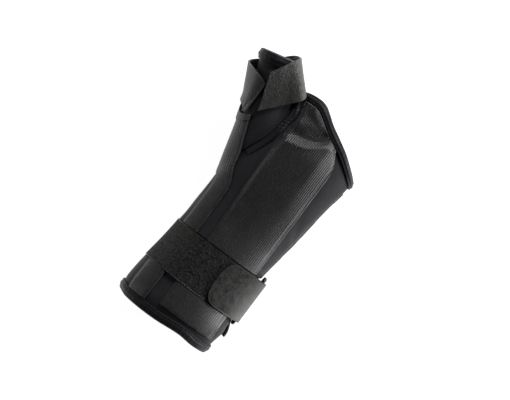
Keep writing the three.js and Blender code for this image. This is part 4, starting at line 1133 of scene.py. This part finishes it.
# Thumb strap: from the end of its flap round the back to its front end. Each row has a point of
# its upper and of its lower edge, in thumb radii from the middle of the rim.
thumbStrapRows = {
    "at": [0, .13, .25, .38, .5, .6, .7, .78, .88, 1],
    "upper": [[.45, -1.76, 1.06], [-.4, -1.49, .96], [-1.14, -1.21, .05], [-.69, -.55, -1.1],
              [.06, .12, -1.36], [.7, .7, -1.08], [1.08, .66, 0], [1.05, .46, .9], [.71, -.22, 1.2],
              [.23, -1.1, 1.24]],
    "lower": [[.52, -3.77, .5], [.17, -3.5, .3], [-.11, -3.22, -.3], [.3, -3.05, -1.1],
              [1.15, -2.23, -1.36], [1.85, -1.1, -1.25], [2.13, -.6, -.2], [2.71, -1.16, .84],
              [1.94, -2.14, .86], [1, -3.28, .84]],
}
thumbStrapLook = {
    "columns": 240, "rows": 50, "coarseColumns": 36, "coarseRows": 6, "width": 27, "length": 150,
    "thickness": 1.5, "seat": 1.3, "seatTurns": 96, "seatRises": 60, "hemFrom": 0.78, "overStrip": 0.3,
    "stripTurns": (0, 32, 112, 150), "grain": 0.1, "grainSize": 1.3, "smoothTo": 30, "smoothFade": 20,
    "smoothShare": 0.2, "edge": 1.4,
}


# Straight lines between the two edges, each point pushed out along the wrap's normal until it
# clears the wrap and its hem.
def makeThumbStrap(look):
    at = np.linspace(0, 1, look["coarseColumns"])
    edges = []
    for edge in ("lower", "upper"):
        axes = [{"at": thumbStrapRows["at"], "value": column} for column in zip(*thumbStrapRows[edge])]
        places = np.stack([tableValue(axis, "value", at) for axis in axes], axis=-1)
        edges.append(rimMiddle + wrapShape["radius"] * places)
    share = np.linspace(0, 1, look["coarseRows"])[:, None, None]
    points = mixed(edges[0][None], edges[1][None], share)
    turn = np.linspace(0, 2 * np.pi, look["seatTurns"], endpoint=False)[None, :]
    rise = np.linspace(0.1, 1, look["seatRises"])[:, None]
    place = wrapPoint(turn, rise, 0).reshape(-1, 3)
    normal = wrapNormal(turn, rise).reshape(-1, 3)
    overHem = (rise > look["hemFrom"]) * (bindingLook["tape"] + 2 * sleeveShape["gap"])
    clearance = look["seat"] * sleeveShape["gap"] + overHem + 0 * turn
    low, lowEnd, high, highEnd = look["stripTurns"]
    overStrip = eased(low, lowEnd, turn / degree) * (1 - eased(high, highEnd, turn / degree))
    onStrip = eased(stripLook["innerTurn"], stripLook["outerEnd"], turn / degree)
    stripEnd = mixed(stripLook["innerRise"], stripLook["outerRise"], onStrip)
    overStrip = overStrip * (1 - eased(stripEnd, stripEnd + 0.2, rise))
    stripHeight = sleeveShape["gap"] + sleeveShape["strip"] + stripLook["hem"] + look["overStrip"]
    clearance = (clearance + overStrip * stripHeight).ravel()
    flat = points.reshape(-1, 3)
    nearest = np.argmin(np.linalg.norm(flat[:, None] - place[None], axis=2), axis=1)
    gap = np.einsum("ij,ij->i", flat - place[nearest], normal[nearest])
    push = np.maximum(clearance[nearest] - gap, 0)
    points = (flat + push[:, None] * normal[nearest]).reshape(points.shape)
    fine = smoothPath(points, look["rows"])
    fine = smoothPath(fine.swapaxes(0, 1), look["columns"]).swapaxes(0, 1)
    facing = gridNormals(fine)
    if np.einsum("ijk,ijk->", facing, fine - fine.mean(axis=(0, 1))) < 0:
        facing = -facing
    across = np.linspace(0, look["width"], look["rows"])[:, None]
    length = np.linspace(0, look["length"], look["columns"])[None, :]
    grainy = mixed(look["smoothShare"], 1, eased(0, look["smoothFade"], length - look["smoothTo"]))
    inside = eased(0, look["edge"], np.minimum(across, look["width"] - across))
    relief = look["grain"] * smoothNoise(across, length, look["grainSize"], 71) * inside * grainy
    outer = fine + facing * (look["thickness"] + relief)[..., None]
    return wallObject("thumb_strap_tape", outer, fine, [hook])


settle(roundEdges(makeThumbStrap(thumbStrapLook), edgeLook["strap"]), "thumb_strap")


stitchLook = {"pitch": 3.0, "length": 2.0, "width": 0.45, "height": 0.34, "sides": 6, "rings": 5,
              "endThickness": 0.02}


# Stitches at even steps along a line: each is a bead, whose thickness along its length is a
# superellipse, laid along the line with its sides across it.
def stitchLine(line, normals, look):
    travel = np.concatenate([[0], np.cumsum(np.linalg.norm(np.diff(line, axis=0), axis=1))])
    places = np.arange(look["pitch"] / 2, travel[-1], look["pitch"])

    def at(values):
        return np.stack([np.interp(places, travel, values[:, axis]) for axis in range(3)], axis=-1)

    centre, up = at(line), at(normals)
    direction = at(np.gradient(line, axis=0))
    direction = direction / np.linalg.norm(direction, axis=1, keepdims=True)
    side = np.cross(up, direction)
    sides, rings = look["sides"], look["rings"]
    turn = np.linspace(0, 2 * np.pi, sides, endpoint=False)
    poles = np.linspace(-1, 1, rings)[:, None]
    thick = np.sqrt(np.maximum(1 - np.abs(poles) ** 2.5, look["endThickness"]))
    bead = np.stack(np.broadcast_arrays(
        poles * look["length"] / 2,
        thick * np.cos(turn) * look["width"] / 2,
        thick * np.sin(turn) * look["height"] / 2), axis=-1).reshape(-1, 3)
    points = (centre[:, None] + bead[None, :, :1] * direction[:, None] + bead[None, :, 1:2] * side[:, None]
              + bead[None, :, 2:] * up[:, None])
    index = np.arange(sides * rings).reshape(rings, sides)
    over = np.roll(index, -1, axis=1)
    quads = np.stack([index[:-1], over[:-1], over[1:], index[1:]], axis=-1).reshape(-1, 4)
    cap = np.array([[0, 5, 4, 3], [0, 3, 2, 1]])
    faces = np.concatenate([quads, cap, index[-1, 0] + np.array([[0, 1, 2, 3], [0, 3, 4, 5]])])
    faces = (faces[None] + sides * rings * np.arange(len(places))[:, None, None]).reshape(-1, 4)
    return points.reshape(-1, 3), faces


# All the stitches of some lines in one mesh.
def makeStitches(name, lines):
    points, faces, shift = [], [], 0
    for line, normals in lines:
        linePoints, lineFaces = stitchLine(line, normals, stitchLook)
        points.append(linePoints)
        faces.append(lineFaces + shift)
        shift += len(linePoints)
    faces = np.concatenate(faces)
    return meshObject(name, np.concatenate(points), faces, np.zeros((len(faces), 4, 2)), [thread])


# A line on the sleeve at a height, with the section's normal from two heights.
def sleeveLine(angle, y, height):
    low, high = sleevePoint(angle, y, height), sleevePoint(angle, y, height + 1)
    normal = high - low
    return low, normal / np.linalg.norm(normal, axis=-1, keepdims=True)


panelStitchLook = {"insets": ((0, 2.2), (1, 1.6), (1, 3.6)), "from": 13, "to": (196, 188), "steps": 300,
                   "strapFrom": 32, "strapTo": 72, "sink": 0.1}
edgeStitchLook = {"turns": (-10, 190), "steps": 500, "rise": 0.1}


# Lines at an inset from the panel's edges, left out under the strap.
def panelStitches(look):
    lines = []
    for side, inset in look["insets"]:
        y = np.linspace(look["from"], look["to"][side], look["steps"])
        x = panelX(float(side), y) + (-inset if side else inset)
        height = sleeveShape["panelSeat"] + sleeveShape["panel"] + panelLook["stay"] * stayHeight(x, y)
        height = height - panelLook["seam"] * (1 - eased(panelLook["seamFrom"], panelLook["seamTo"], inset))
        for part in (y < look["strapFrom"], y > look["strapTo"]):
            angle = angleAtX(x[part], y[part])
            lines.append(sleeveLine(angle, y[part], height[part] - look["sink"]))
    return lines


settle(makeStitches("palm_panel_stitching", panelStitches(panelStitchLook)))


# A line round an end, at a share of the binding's leg from its nose.
def bindingStitches(endAt, direction, leg, look):
    angle = np.linspace(*look["turns"], look["steps"]) * degree
    y = endAt(angle) - direction * bindingLook["stitchAt"] * leg
    return sleeveLine(angle, y, sleeveShape["gap"] + bindingLook["tape"] + look["rise"])


edgeLines = [bindingStitches(*end, edgeStitchLook) for end in (wristEnd, handEnd)]
settle(makeStitches("edge_stitching", edgeLines))

# Camera straight above, turned so that the forearm end is at the lower left. The field is
# 397.8 mm wide, 0.78 mm to each of the picture's 510 columns, at the middle of the splint's depth.
cameraLook = {"turn": 37, "lens": 120, "sensor": 36, "millimetresPerPixel": 0.78, "columns": 510,
              "middle": (4.9, 118.1), "plane": 35}
camera = bpy.data.objects.new("camera", bpy.data.cameras.new("camera"))
camera.data.lens = cameraLook["lens"]
camera.data.sensor_width = cameraLook["sensor"]
fieldWidth = cameraLook["millimetresPerPixel"] * cameraLook["columns"]
distance = fieldWidth * cameraLook["lens"] / cameraLook["sensor"]
target = np.array([*cameraLook["middle"], cameraLook["plane"]]) + origin
camera.location = (target + [0, 0, distance]) * 0.001
camera.rotation_euler = (0, 0, cameraLook["turn"] * degree)
bpy.context.scene.collection.objects.link(camera)
bpy.context.scene.camera = camera

# Floor: a plain pale sheet, glowing evenly.
floorMesh = bpy.data.meshes.new("floor")
floorMesh.from_pydata([(-4, -4, 0), (4, -4, 0), (4, 4, 0), (-4, 4, 0)], [], [(0, 1, 2, 3)])
floor = bpy.data.objects.new("floor", floorMesh)
floor.location.z = -0.0005
bpy.context.scene.collection.objects.link(floor)
paper = bpy.data.materials.new("white backlit acrylic")
paper.use_nodes = True
paperShader = paper.node_tree.nodes["Principled BSDF"].inputs
paperShader["Base Color"].default_value = linear("#f4f4f4")
paperShader["Roughness"].default_value = 0.9
paperShader["Emission Color"].default_value = linear("#ffffff")
paperShader["Emission Strength"].default_value = 0.9
floorMesh.materials.append(paper)

# Light: a dim white room and soft boxes. The key comes low from the right of the picture.
lightLook = {
    "key": {"at": (1.8, 0.62, 0.3), "size": 0.8, "power": 36},
    "finger end": {"at": (0.2, 1.7, 0.66), "size": 0.7, "power": 22},
    "left": {"at": (-1.3, -0.5, 0.9), "size": 1.0, "power": 3},
}
bpy.context.scene.view_settings.view_transform = "Standard"
for name, look in lightLook.items():
    lamp = bpy.data.objects.new(name, bpy.data.lights.new(name, "AREA"))
    lamp.data.shape = "SQUARE"
    lamp.data.size = look["size"]
    lamp.data.energy = look["power"]
    place = np.array(look["at"])
    lamp.location = place
    away = place / np.linalg.norm(place)
    lamp.rotation_euler = (np.arccos(away[2]), 0, np.arctan2(away[0], -away[1]))
    bpy.context.scene.collection.objects.link(lamp)
world = bpy.data.worlds.new("white room")
world.use_nodes = True
world.node_tree.nodes["Background"].inputs["Color"].default_value = (1, 1, 1, 1)
world.node_tree.nodes["Background"].inputs["Strength"].default_value = 0.05
bpy.context.scene.world = world
print("camera, floor and light placed")
